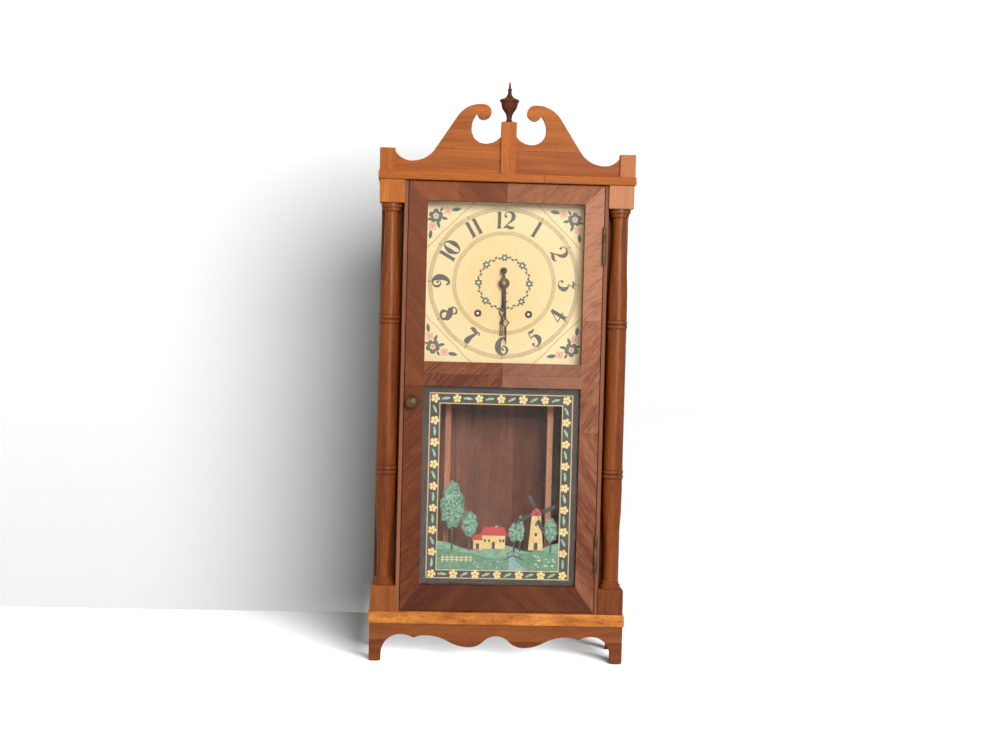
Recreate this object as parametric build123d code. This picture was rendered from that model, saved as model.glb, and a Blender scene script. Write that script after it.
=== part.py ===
from build123d import *
from math import asin, atan2, cos, hypot, pi, radians, sin, sqrt, tan
import os

os.makedirs("parts", exist_ok=True)

# A shelf clock of the pillar and scroll pattern. Millimetres, +Z up, the front faces -Y.
# The origin is on the floor, in the middle of the clock's overall width and depth.

# Case boards
board_width = 320.0
board_depth = 114.0
apron_height = 47.0
base_thickness = 15.0
top_thickness = 10.5
edge_round = 1.5
apron_thickness = 9.0
apron_setback = 1.5
foot_width = 15.0
foot_round = 3.0

# Scrolled lower edge of the front apron, as heights above the floor. The drop is placed from the
# middle, and the outer arch, cusp and shoulder follow one another inwards from the foot.
arch_height = 33.0
drop_x = 33.6
drop_height = 18.7
shoulder_run = 14.9
cusp_run = 16.2
cusp_height = 29.7
outer_arch_radius = 23.9
outer_arch_height = 34.0

# Scrolled lower edge of the side aprons
side_drop_height = 20.0
side_arch_radius = 14.0

# Corner posts: plinth, turned column and cap
block_width = 31.0
block_setback = 2.5
block_side_setback = 2.0
plinth_height = 32.0
cap_height = 29.0
column_length = 476.0
shaft_radius = 12.1
neck_radius = 8.75
capital_radius = 13.0
capital_height = 5.6
collar_radius = 11.2
collar_height = 4.9
neck_length = 15.5
swell_height = 118.0
ring_height = 94.0
ring_bead = 5.5
ring_proud = 1.1
tenon_radius = 5.0
tenon_length = 7.0

# Case body behind the columns
side_inset = 3.0
side_thickness = 8.0
niche_thickness = 6.0
jamb_thickness = 4.5
lining_gap = 0.6
back_thickness = 6.0
back_setback = 6.0

# Scrolled crest on the top board, as heights above that board and distances from the middle,
# but with the dip placed from the side plinth's inner face
crest_thickness = 8.0
crest_setback = 7.0
side_plinth_width = 19.0
side_plinth_height = 28.0
side_plinth_inset = 1.3
centre_plinth_width = 18.7
centre_plinth_height = 64.0
plinth_proud = 5.0
dip_run = 20.1
dip_height = 13.1
dip_outer_radius = 23.7
neck_straight = 48.5
crown_x = 34.9
crown_height = 85.6
curl_x = 31.8
curl_radius = 9.7
curl_end_x = 39.2
curl_end_height = 73.5
eye_x = 28.7
eye_height = 54.2
eye_radius = 17.7
eye_lift = 10.2

# Finial, as radii and heights above its plinth
finial_height = 50.0
finial_rim_radius = 12.1
finial_rim_height = 26.4
finial_foot_radius = 4.8
finial_waist_radius = 3.2
finial_waist_height = 4.4
finial_bead_radius = 2.7
finial_bead_height = 40.2
finial_spigot_radius = 3.0
finial_spigot_length = 6.0

# Door
door_gap = 1.0
door_setback = 7.0
door_thickness = 15.0
stile_width = 23.5
middle_rail_width = 30.0
bottom_rail_width = 32.5
dial_opening_height = 200.0
rabbet_width = 6.0
rabbet_depth = 8.0
glass_thickness = 2.0
glass_play = 0.5
bead_bevel = 2.5

# Door furniture
hinge_length = 45.0
hinge_inset = 52.0
hinge_leaf = 0.9
hinge_leaf_width = 10.0
hinge_let_in = 0.6
knuckle_radius = 2.2
knuckle_stand_off = 0.3
knuckle_gap = 0.2
hinge_pin_radius = 1.1
knob_inset = 9.5
knob_height = 324.5
knob_radius = 8.2
knob_projection = 15.0
spindle_radius = 2.0
tongue_length = 13.0
tongue_width = 6.0
tongue_thickness = 1.8
pin_drop = 16.2
pin_head_radius = 1.3

# Dial and hands
dial_overlap = 14.0
dial_thickness = 1.5
dial_setback = 19.0
dial_hole_radius = 6.0
winding_x = 32.0
winding_drop = 38.5
grommet_radius = 4.7
grommet_bore_radius = 3.7
hour_hand_angle = 182.0
minute_hand_angle = 177.0
hand_thickness = 0.8
hour_hand_length = 66.0
minute_hand_length = 77.0
hour_hand_stand_off = 2.7
minute_hand_stand_off = 6.2
hand_nut_radius = 6.6
hand_nut_height = 2.6

# Movement
motion_work_room = 9.5
plate_thickness = 1.6
plate_spacing = 26.0
plate_half_width = 64.0
plate_rise = 52.0
plate_drop = 66.0
pillar_radius = 4.0
pillar_inset = 7.0
barrel_radius = 24.0
barrel_length = 19.0
barrel_rim = 2.0
winding_arbor_radius = 3.2
winding_square = 4.0
winding_square_sunk = 0.3
winding_shoulder_gap = 1.0
arbor_radius = 1.5
motion_centres = 18.0
cannon_teeth = 12
minute_wheel_teeth = 36
minute_pinion_teeth = 10
hour_wheel_teeth = 40
backlash = 0.14
pressure_angle = 20.0
tooth_addendum = 0.8
tooth_dedendum = 1.1
cannon_pipe_radius = 2.6
hour_pipe_radius = 4.0
hand_seat_step = 0.6

# Motion work, as distances in front of the front plate and thicknesses
minute_wheel_stand_off = 3.3
minute_wheel_thickness = 1.5
minute_pinion_length = 3.0
cannon_thickness = 2.5
cannon_lead = 0.5
hour_wheel_stand_off = 5.9
hour_wheel_thickness = 1.4
stud_radius = 1.2
stud_length = 7.0
stud_shoulder_radius = 2.4
stud_shoulder = 1.5

# Escapement and pendulum
anchor_rise = 34.0
anchor_span = 15.0
anchor_thickness = 4.0
anchor_ridge = 4.0
pallet_drop = 13.0
pallet_width = 3.0
crutch_length = 44.0
crutch_width = 2.4
crutch_thickness = 1.2
fork_height = 3.0
fork_arm = 1.5
pendulum_length = 142.0
pendulum_stand_off = 12.0
pendulum_rod_width = 3.0
pendulum_rod_thickness = 1.6
suspension_pin_radius = 1.6
suspension_thickness = 0.5
suspension_width = 4.0
suspension_length = 22.0
rating_thread_radius = 0.75
bob_radius = 17.0
bob_thickness = 8.0
bob_rim_thickness = 2.4
bob_slot_depth = 2.0
rating_nut_radius = 4.0
rating_nut_height = 4.5
cock_half_width = 8.0
cock_arm_height = 6.0
cock_flange_height = 13.0
cock_flange_thickness = 2.0
cock_cheek_drop = 4.0
cock_cheek_half_depth = 3.0
cock_slot_width = 1.8

# Strike
hammer_x = 50.0
hammer_rise = 28.0
hammer_reach = 34.0
hammer_head_radius = 4.5
hammer_head_length = 9.0
hammer_rest_gap = 0.8
hammer_arm_stand_off = 3.0
hammer_arm_thickness = 2.0
hammer_arm_width = 3.0
hammer_neck = 4.0
gong_x = 85.0
gong_drop = 16.0
gong_wire_radius = 1.2
gong_inner_radius = 16.0
gong_pitch = 4.2
gong_half_turns = 9
gong_block_width = 8.0
gong_bend_radius = 6.0
gong_stand_off = 11.0

# Seat of the movement
seat_thickness = 10.0
seat_depth = 34.0
post_x = 65.0
post_width = 7.0
post_depth = 12.0
cleat_width = 12.0
cleat_height = 10.0
seat_bolt_radius = 1.5
seat_bolt_head_radius = 3.5
seat_bolt_head = 2.0

# Finial's small members
finial_rim_half = 2.0
finial_rim_step = 1.7
finial_lid_step = 0.8
finial_foot_fillet = 0.8
finial_tip_radius = 0.8

# Hands, as half widths and half heights
hour_window = 36.3
hour_window_size = (5.0, 7.0)
hour_spur = 49.5
minute_window = 49.7
minute_window_size = (5.6, 6.6)
minute_cross = 62.4
minute_tail = 15.6
minute_tail_radius = 4.1
hand_rib = 2.0

# Clearances
shaft_clearance = 0.05
glued_clearance = 0.02
hidden_tongue = 1.5
crest_end_cover = 4.5
slot_room = 0.4

# Places along the depth, from the front to the back
knob_reach = knob_projection - door_setback
board_front = (knob_reach - board_depth) / 2
board_back = board_front + board_depth
block_front = board_front + block_setback
case_front = block_front + block_width
case_back = board_back - back_setback
panel_front = case_back - back_thickness
door_front = board_front + door_setback
glass_front = door_front + door_thickness - rabbet_depth
door_back = door_front + door_thickness
dial_front = glass_front + dial_setback
dial_back = dial_front + dial_thickness
front_plate_y = dial_back + motion_work_room
pillar_front = front_plate_y + plate_thickness
pillar_back = pillar_front + plate_spacing
back_plate_y = pillar_back + plate_thickness
pendulum_y = back_plate_y + pendulum_stand_off
seat_y = (pillar_front + pillar_back) / 2
jamb_back = seat_y - seat_depth / 2 - lining_gap
crest_front = board_front + crest_setback

# Places along the height
base_top = apron_height + base_thickness
plinth_top = base_top + plinth_height
cap_bottom = plinth_top + column_length
top_bottom = cap_bottom + cap_height
crest_bottom = top_bottom + top_thickness
door_bottom = base_top + door_gap
door_top = top_bottom - door_gap
dial_opening_top = door_top - stile_width
dial_opening_bottom = dial_opening_top - dial_opening_height
lower_opening_top = dial_opening_bottom - middle_rail_width
lower_opening_bottom = door_bottom + bottom_rail_width
dial_z = (dial_opening_top + dial_opening_bottom) / 2
winding_z = dial_z - winding_drop
seat_top = dial_z - plate_drop
seat_bottom = seat_top - seat_thickness

# Places across the width
block_outer = board_width / 2 - block_side_setback
block_inner = block_outer - block_width
column_x = block_outer - block_width / 2
column_y = block_front + block_width / 2
side_outer = block_outer - side_inset
side_inner = side_outer - side_thickness
jamb_inner = block_inner - jamb_thickness
door_half = jamb_inner - door_gap
opening_half = door_half - stile_width
hinge_x = (jamb_inner + door_half) / 2
hinge_y = door_front - knuckle_radius - knuckle_stand_off
knob_x = -door_half + knob_inset
apron_half = board_width / 2 - apron_setback
foot_x = apron_half - foot_width
outer_arch_x = foot_x - outer_arch_radius
cusp_x = outer_arch_x - cusp_run
shoulder_x = cusp_x - shoulder_run
side_plinth_outer = board_width / 2 - side_plinth_inset
side_plinth_inner = side_plinth_outer - side_plinth_width
dip_x = side_plinth_inner - dip_run


def box(x_span, y_span, z_span):
    """Block between two places along each axis."""
    sizes = [abs(span[1] - span[0]) for span in (x_span, y_span, z_span)]
    middles = [(span[0] + span[1]) / 2 for span in (x_span, y_span, z_span)]
    return Pos(*middles) * Box(*sizes)


def rod_along_y(x, z, radius, y_front, y_back):
    """Round bar that runs from front to back."""
    return Pos(x, (y_front + y_back) / 2, z) * Rot(90, 0, 0) * Cylinder(radius, y_back - y_front)


def rod_along_z(x, y, radius, z_low, z_high):
    """Upright round bar."""
    return Pos(x, y, (z_low + z_high) / 2) * Cylinder(radius, z_high - z_low)


def other_side(shape):
    """The same piece on the other side of the clock."""
    return mirror(shape, about=Plane.YZ)


def pair(shape):
    """A piece and its mirror image, as two separate solids."""
    return Compound(children=[Part() + shape, Part() + other_side(shape)])


def front_board(edges, y_front, thickness):
    """Board cut to an outline in the front view, with its face at y_front."""
    back = Plane((0, y_front + thickness, 0), x_dir=(1, 0, 0), z_dir=(0, -1, 0))
    return extrude(back * make_face(edges), amount=thickness)


def turned(edges):
    """Solid of revolution about Z, from a half section of radii and heights."""
    return revolve(Plane.XZ * make_face(edges), Axis.Z)


def turned_forward(edges, x, y, z):
    """Solid of revolution whose heights stand out towards the front."""
    return Pos(x, y, z) * Rot(90, 0, 0) * turned(edges)


def arc_chain(start, heading, points):
    """Arcs through the points, each leaving the way the one before arrives."""
    edges = []
    here = Vector(*start)
    heading = Vector(*heading).normalized()
    for point in points:
        there = Vector(*point)
        edges.append(TangentArc(here, there, tangent=heading))
        chord = (there - here).normalized()
        heading = chord * (2 * heading.dot(chord)) - heading
        here = there
    return edges


def ogee(start, end, heading, share=0.5):
    """Two arcs that start and end along the same heading."""
    middle = (start[0] + share * (end[0] - start[0]), start[1] + share * (end[1] - start[1]))
    return arc_chain(start, heading, [middle, end])


def polyline(points):
    """Straight edges through the points."""
    return [Line(a, b) for a, b in zip(points, points[1:])]


def mirrored(edges):
    """Edges of a half outline and of its other half, left of the middle."""
    return edges + [mirror(edge, about=Plane.YZ) for edge in edges]


def foot_edges(inner_x, outer_x, top):
    """Foot from its inner edge round to its outer edge, with both lower corners rounded."""
    return [
        TangentArc((inner_x, foot_round), (inner_x + foot_round, 0), tangent=(0, -1)),
        Line((inner_x + foot_round, 0), (outer_x - foot_round, 0)),
        TangentArc((outer_x - foot_round, 0), (outer_x, foot_round), tangent=(1, 0)),
        Line((outer_x, foot_round), (outer_x, top)),
        Line((outer_x, top), (0, top)),
    ]


def make_front_apron():
    foot_start = outer_arch_height - outer_arch_radius
    edges = ogee((0, arch_height), (drop_x, drop_height), (1, 0), 0.48)
    edges += ogee((drop_x, drop_height), (shoulder_x, arch_height), (1, 0), 0.48)
    edges.append(TangentArc((shoulder_x, arch_height), (cusp_x, cusp_height), tangent=(1, 0)))
    edges.append(TangentArc((outer_arch_x, outer_arch_height), (cusp_x, cusp_height), tangent=(-1, 0)))
    edges.append(CenterArc((outer_arch_x, foot_start), outer_arch_radius, 0, 90))
    edges.append(Line((foot_x, foot_start), (foot_x, foot_round)))
    edges += foot_edges(foot_x, apron_half, apron_height)
    return front_board(mirrored(edges), board_front + apron_setback, apron_thickness)


def make_side_aprons():
    y_start = board_front + apron_setback + apron_thickness
    y_end = board_back - apron_setback
    half_length = (y_end - y_start) / 2
    foot_end = half_length - foot_width
    arch_x = foot_end - side_arch_radius
    edges = ogee((0, side_drop_height), (arch_x, arch_height), (1, 0))
    edges.append(CenterArc((arch_x, arch_height - side_arch_radius), side_arch_radius, 0, 90))
    edges.append(Line((foot_end, arch_height - side_arch_radius), (foot_end, foot_round)))
    edges += foot_edges(foot_end, half_length, apron_height)
    middle = (y_start + y_end) / 2
    inside = Plane((apron_half - apron_thickness, middle, 0), x_dir=(0, 1, 0), z_dir=(1, 0, 0))
    return pair(extrude(inside * make_face(mirrored(edges)), amount=apron_thickness))


def make_case_board(bottom, thickness):
    """Base or top board, with its front and side edges eased."""
    board = box((-board_width / 2, board_width / 2), (board_front, board_back), (bottom, bottom + thickness))
    eased = [edge for edge in board.edges() if edge.center().Y < board_back - edge_round]
    eased = [edge for edge in eased if abs(edge.center().Z - bottom - thickness / 2) > edge_round]
    return fillet(eased, edge_round)


def make_corner_blocks(bottom, top, eased_z):
    """Pair of square blocks, bored for a column's tenon, with the edges round the bored face eased."""
    block = box((block_inner, block_outer), (block_front, case_front), (bottom, top))
    eased = [edge for edge in block.edges() if abs(edge.center().Z - eased_z) < edge_round / 2]
    block = fillet(eased, edge_round)
    bore = tenon_radius + glued_clearance
    depth = tenon_length + hidden_tongue
    if eased_z == top:
        block -= rod_along_z(column_x, column_y, bore, top - depth, top)
    else:
        block -= rod_along_z(column_x, column_y, bore, bottom, bottom + depth)
    return pair(block)


def column_half_section():
    """Upper half of a column's section, from mid height up to its tenon."""
    half = column_length / 2
    capital_low = half - capital_height
    collar_low = capital_low - collar_height
    neck_low = collar_low - neck_length
    ring_low = ring_height - ring_bead
    ring_high = ring_height + ring_bead
    ring_radius = shaft_radius + ring_proud
    cove = collar_radius - neck_radius
    edges = polyline([(shaft_radius, 0), (shaft_radius, ring_low)])
    for low in (ring_low, ring_height):
        belly = (ring_radius, low + ring_bead / 2)
        edges.append(ThreePointArc((shaft_radius, low), belly, (shaft_radius, low + ring_bead)))
    edges += polyline([(shaft_radius, ring_high), (shaft_radius, swell_height)])
    edges += ogee((shaft_radius, swell_height), (neck_radius, neck_low), (0, 1), 0.45)
    edges += polyline([(neck_radius, neck_low), (neck_radius, collar_low - cove / 2)])
    edges.append(CenterArc((collar_radius, collar_low - cove / 2), cove, 90, 90))
    edges += polyline([(collar_radius, collar_low + cove / 2), (collar_radius, capital_low)])
    edges += polyline([(collar_radius, capital_low), (capital_radius - edge_round / 2, capital_low)])
    rim = (capital_radius, capital_low + edge_round / 2)
    edges.append(TangentArc((capital_radius - edge_round / 2, capital_low), rim, tangent=(1, 0)))
    end = half + tenon_length
    edges += polyline([rim, (capital_radius, half), (tenon_radius, half), (tenon_radius, end), (0, end)])
    return edges


def make_column():
    upper = column_half_section()
    lower = [mirror(edge, about=Plane.XZ) for edge in upper]
    end = column_length / 2 + tenon_length
    section = upper + lower + [Line((0, end), (0, -end))]
    return Pos(column_x, column_y, (plinth_top + cap_bottom) / 2) * turned(section)


def scroll_radius():
    """Radius of the two arcs of the scroll's neck, which its straight part joins."""
    run = dip_x - crown_x
    rise = crown_height - dip_height
    return (run**2 + rise**2 - neck_straight**2) / (4 * rise)


def swan_neck():
    """Scroll's outer line on the right: out of the dip, up the neck and over the crown to its top."""
    radius = scroll_radius()
    run = dip_x - crown_x
    lean = atan2(crown_height - dip_height - 2 * radius, run) + atan2(2 * radius, neck_straight)
    foot = (dip_x - radius * sin(lean), dip_height + radius * (1 - cos(lean)))
    shoulder = (crown_x + radius * sin(lean), crown_height - radius * (1 - cos(lean)))
    return [
        TangentArc((dip_x, dip_height), foot, tangent=(-1, 0)),
        Line(foot, shoulder),
        TangentArc((crown_x, crown_height), shoulder, tangent=(1, 0)),
    ]


def curl():
    """End of the scroll: from the crown's top round the curl to the cusp over the eye."""
    between = scroll_radius() - curl_radius
    lean = asin((crown_x - curl_x) / between)
    centre_height = crown_height - scroll_radius() + between * cos(lean)
    start = (curl_x - curl_radius * sin(lean), centre_height + curl_radius * cos(lean))
    side = (curl_x - curl_radius, centre_height)
    bottom = (curl_x, centre_height - curl_radius)
    cusp = (curl_end_x, curl_end_height)
    return [
        TangentArc((crown_x, crown_height), start, tangent=(-1, 0)),
        ThreePointArc(start, side, bottom),
        TangentArc(bottom, cusp, tangent=(1, 0)),
    ]


def eye(plinth_edge):
    """Open eye under the scroll, from the cusp round to the centre plinth's edge."""
    outer = (eye_x + eye_radius, eye_height)
    bottom = (eye_x, eye_height - eye_radius)
    return [
        TangentArc(outer, (curl_end_x, curl_end_height), tangent=(0, 1)),
        CenterArc((eye_x, eye_height), eye_radius, 270, 90),
        TangentArc(bottom, (plinth_edge, bottom[1] + eye_lift), tangent=(-1, 0)),
    ]


def crest_tongue_top():
    """Top of the crest board's tongue inside the centre plinth, below the finial's spigot."""
    return centre_plinth_height - finial_spigot_length - hidden_tongue


def crest_end():
    """Half width of the crest board, which ends inside the side plinths."""
    return side_plinth_outer - crest_end_cover


def side_plinth_meets():
    """Height where the crest's outer dip meets the side plinth."""
    return dip_height + dip_outer_radius - sqrt(dip_outer_radius**2 - dip_run**2)


def make_crest_board():
    plinth_edge = centre_plinth_width / 2
    tongue_x = plinth_edge - hidden_tongue
    side_level = side_plinth_meets()
    meets = eye_height - eye_radius + eye_lift
    side_top = (side_plinth_inner, side_level)
    edges = polyline([(0, 0), (crest_end(), 0), (crest_end(), side_level), side_top])
    edges.append(TangentArc((dip_x, dip_height), side_top, tangent=(1, 0)))
    edges += swan_neck()
    edges += curl()
    edges += eye(plinth_edge)
    edges += polyline([(plinth_edge, meets), (tongue_x, meets), (tongue_x, crest_tongue_top())])
    edges.append(Line((tongue_x, crest_tongue_top()), (0, crest_tongue_top())))
    return Pos(0, 0, crest_bottom) * front_board(mirrored(edges), crest_front, crest_thickness)


def notched_plinth(x_span, height, notch_x, notch_top):
    """Small block on the top board, grooved across for the crest board."""
    depth = centre_plinth_width
    y_front = crest_front - plinth_proud
    block = box(x_span, (y_front, y_front + depth), (crest_bottom, crest_bottom + height))
    top = block.edges().group_by(Axis.Z)[-1]
    block = fillet(top, edge_round / 2)
    groove_y = (crest_front, crest_front + crest_thickness)
    return block - box(notch_x, groove_y, (crest_bottom, crest_bottom + notch_top))


def make_centre_plinth():
    half = centre_plinth_width / 2
    meets = eye_height - eye_radius + eye_lift
    block = notched_plinth((-half, half), centre_plinth_height, (-half, half), meets)
    tongue_x = half - hidden_tongue
    tongue_y = (crest_front, crest_front + crest_thickness)
    block -= box((-tongue_x, tongue_x), tongue_y, (crest_bottom + meets, crest_bottom + crest_tongue_top()))
    finial_y = crest_front - plinth_proud + half
    top = crest_bottom + centre_plinth_height
    depth = finial_spigot_length + glued_clearance
    return block - rod_along_z(0, finial_y, finial_spigot_radius + glued_clearance, top - depth, top)


def make_side_plinths():
    span = (side_plinth_inner, side_plinth_outer)
    groove = (side_plinth_inner, crest_end())
    return pair(notched_plinth(span, side_plinth_height, groove, side_plinth_meets()))


def make_finial():
    bowl_radius = finial_rim_radius - finial_rim_step
    bowl_top = (bowl_radius, finial_rim_height - finial_rim_half)
    lid_edge = (bowl_radius, finial_rim_height + finial_rim_half)
    lid_start = (bowl_radius - finial_lid_step, lid_edge[1] + finial_lid_step / 2)
    neck = (finial_bead_radius * 0.75, finial_bead_height - finial_bead_radius * 0.75)
    spire = (finial_bead_radius * 0.6, finial_bead_height + finial_bead_radius * 0.65)
    foot_top = (finial_foot_radius, finial_foot_fillet)
    waist = (finial_waist_radius, finial_waist_height)
    tip_radius = finial_tip_radius
    spigot = (finial_spigot_radius, -finial_spigot_length)
    edges = polyline([(0, -finial_spigot_length), spigot, (finial_spigot_radius, 0)])
    edges += polyline([(finial_spigot_radius, 0), (finial_foot_radius, 0), foot_top])
    edges.append(TangentArc(waist, foot_top, tangent=(0, -1)))
    edges += ogee(waist, bowl_top, (0, 1), 0.45)
    edges.append(ThreePointArc(bowl_top, (finial_rim_radius, finial_rim_height), lid_edge))
    edges += polyline([lid_edge, lid_start])
    edges.append(TangentArc(neck, lid_start, tangent=(0, -1)))
    edges.append(ThreePointArc(neck, (finial_bead_radius, finial_bead_height), spire))
    edges += polyline([spire, (tip_radius, finial_height - tip_radius)])
    edges.append(CenterArc((0, finial_height - tip_radius), tip_radius, 0, 90))
    edges.append(Line((0, finial_height), (0, -finial_spigot_length)))
    finial_y = crest_front - plinth_proud + centre_plinth_width / 2
    return Pos(0, finial_y, crest_bottom + centre_plinth_height) * turned(edges)


def make_side_panel():
    return box((side_inner, side_outer), (case_front, case_back), (base_top, top_bottom))


def make_niche_backs():
    span = (case_front, case_front + niche_thickness)
    return pair(box((block_inner, side_inner), span, (base_top, top_bottom)))


def hinge_centres():
    """Mid heights of the two hinges."""
    return (door_bottom + hinge_inset + hinge_length / 2, door_top - hinge_inset - hinge_length / 2)


def hinge_recesses(edge_x, into):
    """Shallow cuts that let the hinge leaves into a jamb or a stile."""
    cuts = Part()
    for z in hinge_centres():
        leaf_back = door_front + hinge_leaf_width + glued_clearance
        span = (z - hinge_length / 2 - glued_clearance, z + hinge_length / 2 + glued_clearance)
        cuts += box((edge_x, edge_x + into * hinge_let_in), (door_front, leaf_back), span)
    return cuts


def make_jamb():
    """Right hand door jamb, without the hinge recesses."""
    return box((jamb_inner, block_inner), (door_front, jamb_back), (base_top, top_bottom))


def make_latch_jamb():
    """Left jamb, with the slot that the latch tongue swings into."""
    reach = -jamb_inner - knob_x
    swing = sqrt(tongue_length**2 - reach**2)
    slot_x = (-jamb_inner, knob_x - tongue_length - slot_room)
    slot_y = (door_back + hinge_let_in / 2, door_back + tongue_thickness + hinge_let_in * 2)
    slot_z = (knob_height - swing - tongue_width / 2, knob_height + tongue_width)
    return other_side(make_jamb()) - box(slot_x, slot_y, slot_z)


def make_movement_posts():
    span = (post_x - post_width / 2, post_x + post_width / 2)
    depth = (seat_y - post_depth / 2, seat_y + post_depth / 2)
    return pair(box(span, depth, (base_top, seat_bottom)))


def make_seat_board():
    depth = (seat_y - seat_depth / 2, seat_y + seat_depth / 2)
    board = box((-side_inner, side_inner), depth, (seat_bottom, seat_top))
    for x in seat_bolt_places():
        board -= rod_along_z(x, seat_y, seat_bolt_radius + shaft_clearance, seat_bottom, seat_top)
    return board


def make_inner_cleats():
    """Strips that carry the seat board's ends and the dial's two upright edges."""
    depth = (seat_y - seat_depth / 2, seat_y + seat_depth / 2)
    seat_cleat = box((side_inner - cleat_width, side_inner), depth, (seat_bottom - cleat_height, seat_bottom))
    dial_edge = opening_half + dial_overlap
    inner = dial_edge - cleat_width
    depth = (dial_back, jamb_back)
    span = (dial_opening_bottom - dial_overlap, dial_opening_top + dial_overlap)
    dial_cleat = box((inner, jamb_inner), depth, span)
    return Compound(children=[*pair(seat_cleat).solids(), *pair(dial_cleat).solids()])


def make_dial_plate():
    half = opening_half + dial_overlap
    span = (dial_opening_bottom - dial_overlap, dial_opening_top + dial_overlap)
    plate = box((-half, half), (dial_front, dial_back), span)
    plate -= rod_along_y(0, dial_z, dial_hole_radius, dial_front, dial_back)
    for x in (-winding_x, winding_x):
        plate -= rod_along_y(x, winding_z, grommet_tube_radius() + glued_clearance, dial_front, dial_back)
    return plate


def grommet_tube_radius():
    """Radius of the part of a grommet that passes through the dial."""
    return (grommet_bore_radius + grommet_radius) / 2


def make_winding_grommets():
    """Flanged rings that line the two winding holes."""
    flange_front = dial_front - hand_thickness
    ring = rod_along_y(winding_x, winding_z, grommet_radius, flange_front, dial_front)
    ring += rod_along_y(winding_x, winding_z, grommet_tube_radius(), dial_front, dial_back)
    return pair(ring - rod_along_y(winding_x, winding_z, grommet_bore_radius, flange_front, dial_back))


def diamond(x, y, half_width, half_height):
    """Four sided lozenge in a flat drawing."""
    points = [(x, y - half_height), (x + half_width, y), (x, y + half_height), (x - half_width, y)]
    return make_face(polyline(points + points[:1]))


def bar(half_low, half_high, low, high):
    """Tapered bar in a flat drawing, pointing up."""
    points = [(-half_low, low), (half_low, low), (half_high, high), (-half_high, high)]
    return make_face(polyline(points + points[:1]))


def hand(drawing, bore, y_front, angle):
    """Flat hand that turns on the middle of the dial; the angle is clockwise from twelve."""
    drawing = Rot(0, 0, -angle) * (drawing - Circle(bore))
    back = Plane((0, y_front + hand_thickness, dial_z), x_dir=(1, 0, 0), z_dir=(0, -1, 0))
    return extrude(back * drawing, amount=hand_thickness)


def pierced_diamond(y, half_sizes):
    """Lozenge and the opening that leaves a rib all round it."""
    half_width, half_height = half_sizes
    return diamond(0, y, *half_sizes), diamond(0, y, half_width - hand_rib, half_height - hand_rib)


def make_hour_hand():
    rib = hand_rib * 0.6
    lozenge, opening = pierced_diamond(hour_window, hour_window_size)
    drawing = Circle(hour_pipe_radius + hand_rib) + bar(rib * 1.5, rib, 0, hour_window)
    drawing = drawing + lozenge - opening
    drawing += diamond(0, hour_spur, hand_rib * 1.8, hand_rib * 0.9)
    drawing += bar(rib, rib * 1.6, hour_window + hour_window_size[1] - rib, hour_hand_length)
    drawing -= bar(rib / 2, rib * 0.7, hour_spur + hand_rib * 1.2, hour_hand_length - rib)
    seat = hour_pipe_radius - hand_seat_step + glued_clearance
    return hand(drawing, seat, hour_hand_front(), hour_hand_angle)


def make_minute_hand():
    rib = hand_rib * 0.7
    lozenge, opening = pierced_diamond(minute_window, minute_window_size)
    drawing = Circle(cannon_pipe_radius + rib * 2) + bar(rib * 1.4, rib, 0, minute_window)
    drawing += Pos(0, -minute_tail) * Circle(minute_tail_radius)
    drawing += bar(rib, rib * 1.4, -minute_tail, 0)
    for place in (minute_window / 4, minute_window * 0.47):
        drawing += diamond(0, place, hand_rib * 2.1, hand_rib * 1.1)
    drawing = drawing + lozenge - opening
    drawing += bar(rib, rib / 3, minute_window + minute_window_size[1] - rib, minute_hand_length)
    drawing += diamond(0, minute_cross, hand_rib * 1.3, hand_rib / 2)
    seat = cannon_pipe_radius - hand_seat_step + glued_clearance
    return hand(drawing, seat, minute_hand_front(), minute_hand_angle)


def hour_hand_front():
    return dial_front - hour_hand_stand_off - hand_thickness


def minute_hand_front():
    return dial_front - minute_hand_stand_off - hand_thickness


def make_hand_nut():
    y = minute_hand_front()
    rim = hand_nut_radius
    edge = hand_nut_height / 4
    edges = polyline([(0, 0), (rim, 0), (rim, edge)])
    boss = rim * 0.36
    shoulder = hand_nut_height * 0.62
    edges.append(TangentArc((boss, shoulder), (rim, edge), tangent=(1, 0)))
    edges += polyline([(boss, shoulder), (boss, hand_nut_height), (0, hand_nut_height), (0, 0)])
    nut = turned_forward(edges, 0, y, dial_z)
    return nut - rod_along_y(0, dial_z, arbor_radius + glued_clearance, y - hand_nut_height, y)


def frame_layer(x_half, low, high, y_span):
    """Full rectangle of the door's outside, or of an opening in it, between two depths."""
    return box((-x_half, x_half), y_span, (low, high))


def make_door_frame():
    """The whole door frame in one: outside, both openings and the rabbets behind them."""
    front = (door_front, glass_front)
    back = (glass_front, door_back)
    frame = frame_layer(door_half, door_bottom, door_top, (door_front, door_back))
    frame -= frame_layer(opening_half, dial_opening_bottom, dial_opening_top, front)
    frame -= frame_layer(opening_half, lower_opening_bottom, lower_opening_top, front)
    for low, high in rabbet_spans():
        frame -= frame_layer(opening_half + rabbet_width, low, high, back)
    return frame


def bottom_rabbet():
    """Rabbet of the bottom rail, whose corner lies on the line of the mitre."""
    return rabbet_width * bottom_rail_width / stile_width


def rabbet_spans():
    """Lowest and highest places of the rabbets behind the upper and the lower opening."""
    upper = (dial_opening_bottom - rabbet_width, dial_opening_top + rabbet_width)
    lower = (lower_opening_bottom - bottom_rabbet(), lower_opening_top + rabbet_width)
    return (upper, lower)


def wedge(outer_z, inner_z):
    """Region of the door that a mitred rail takes, between its outer and its inner edge."""
    outer = [(-door_half, outer_z), (door_half, outer_z)]
    points = outer + [(opening_half, inner_z), (-opening_half, inner_z)]
    return front_board(polyline(points + points[:1]), door_front, door_thickness)


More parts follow.
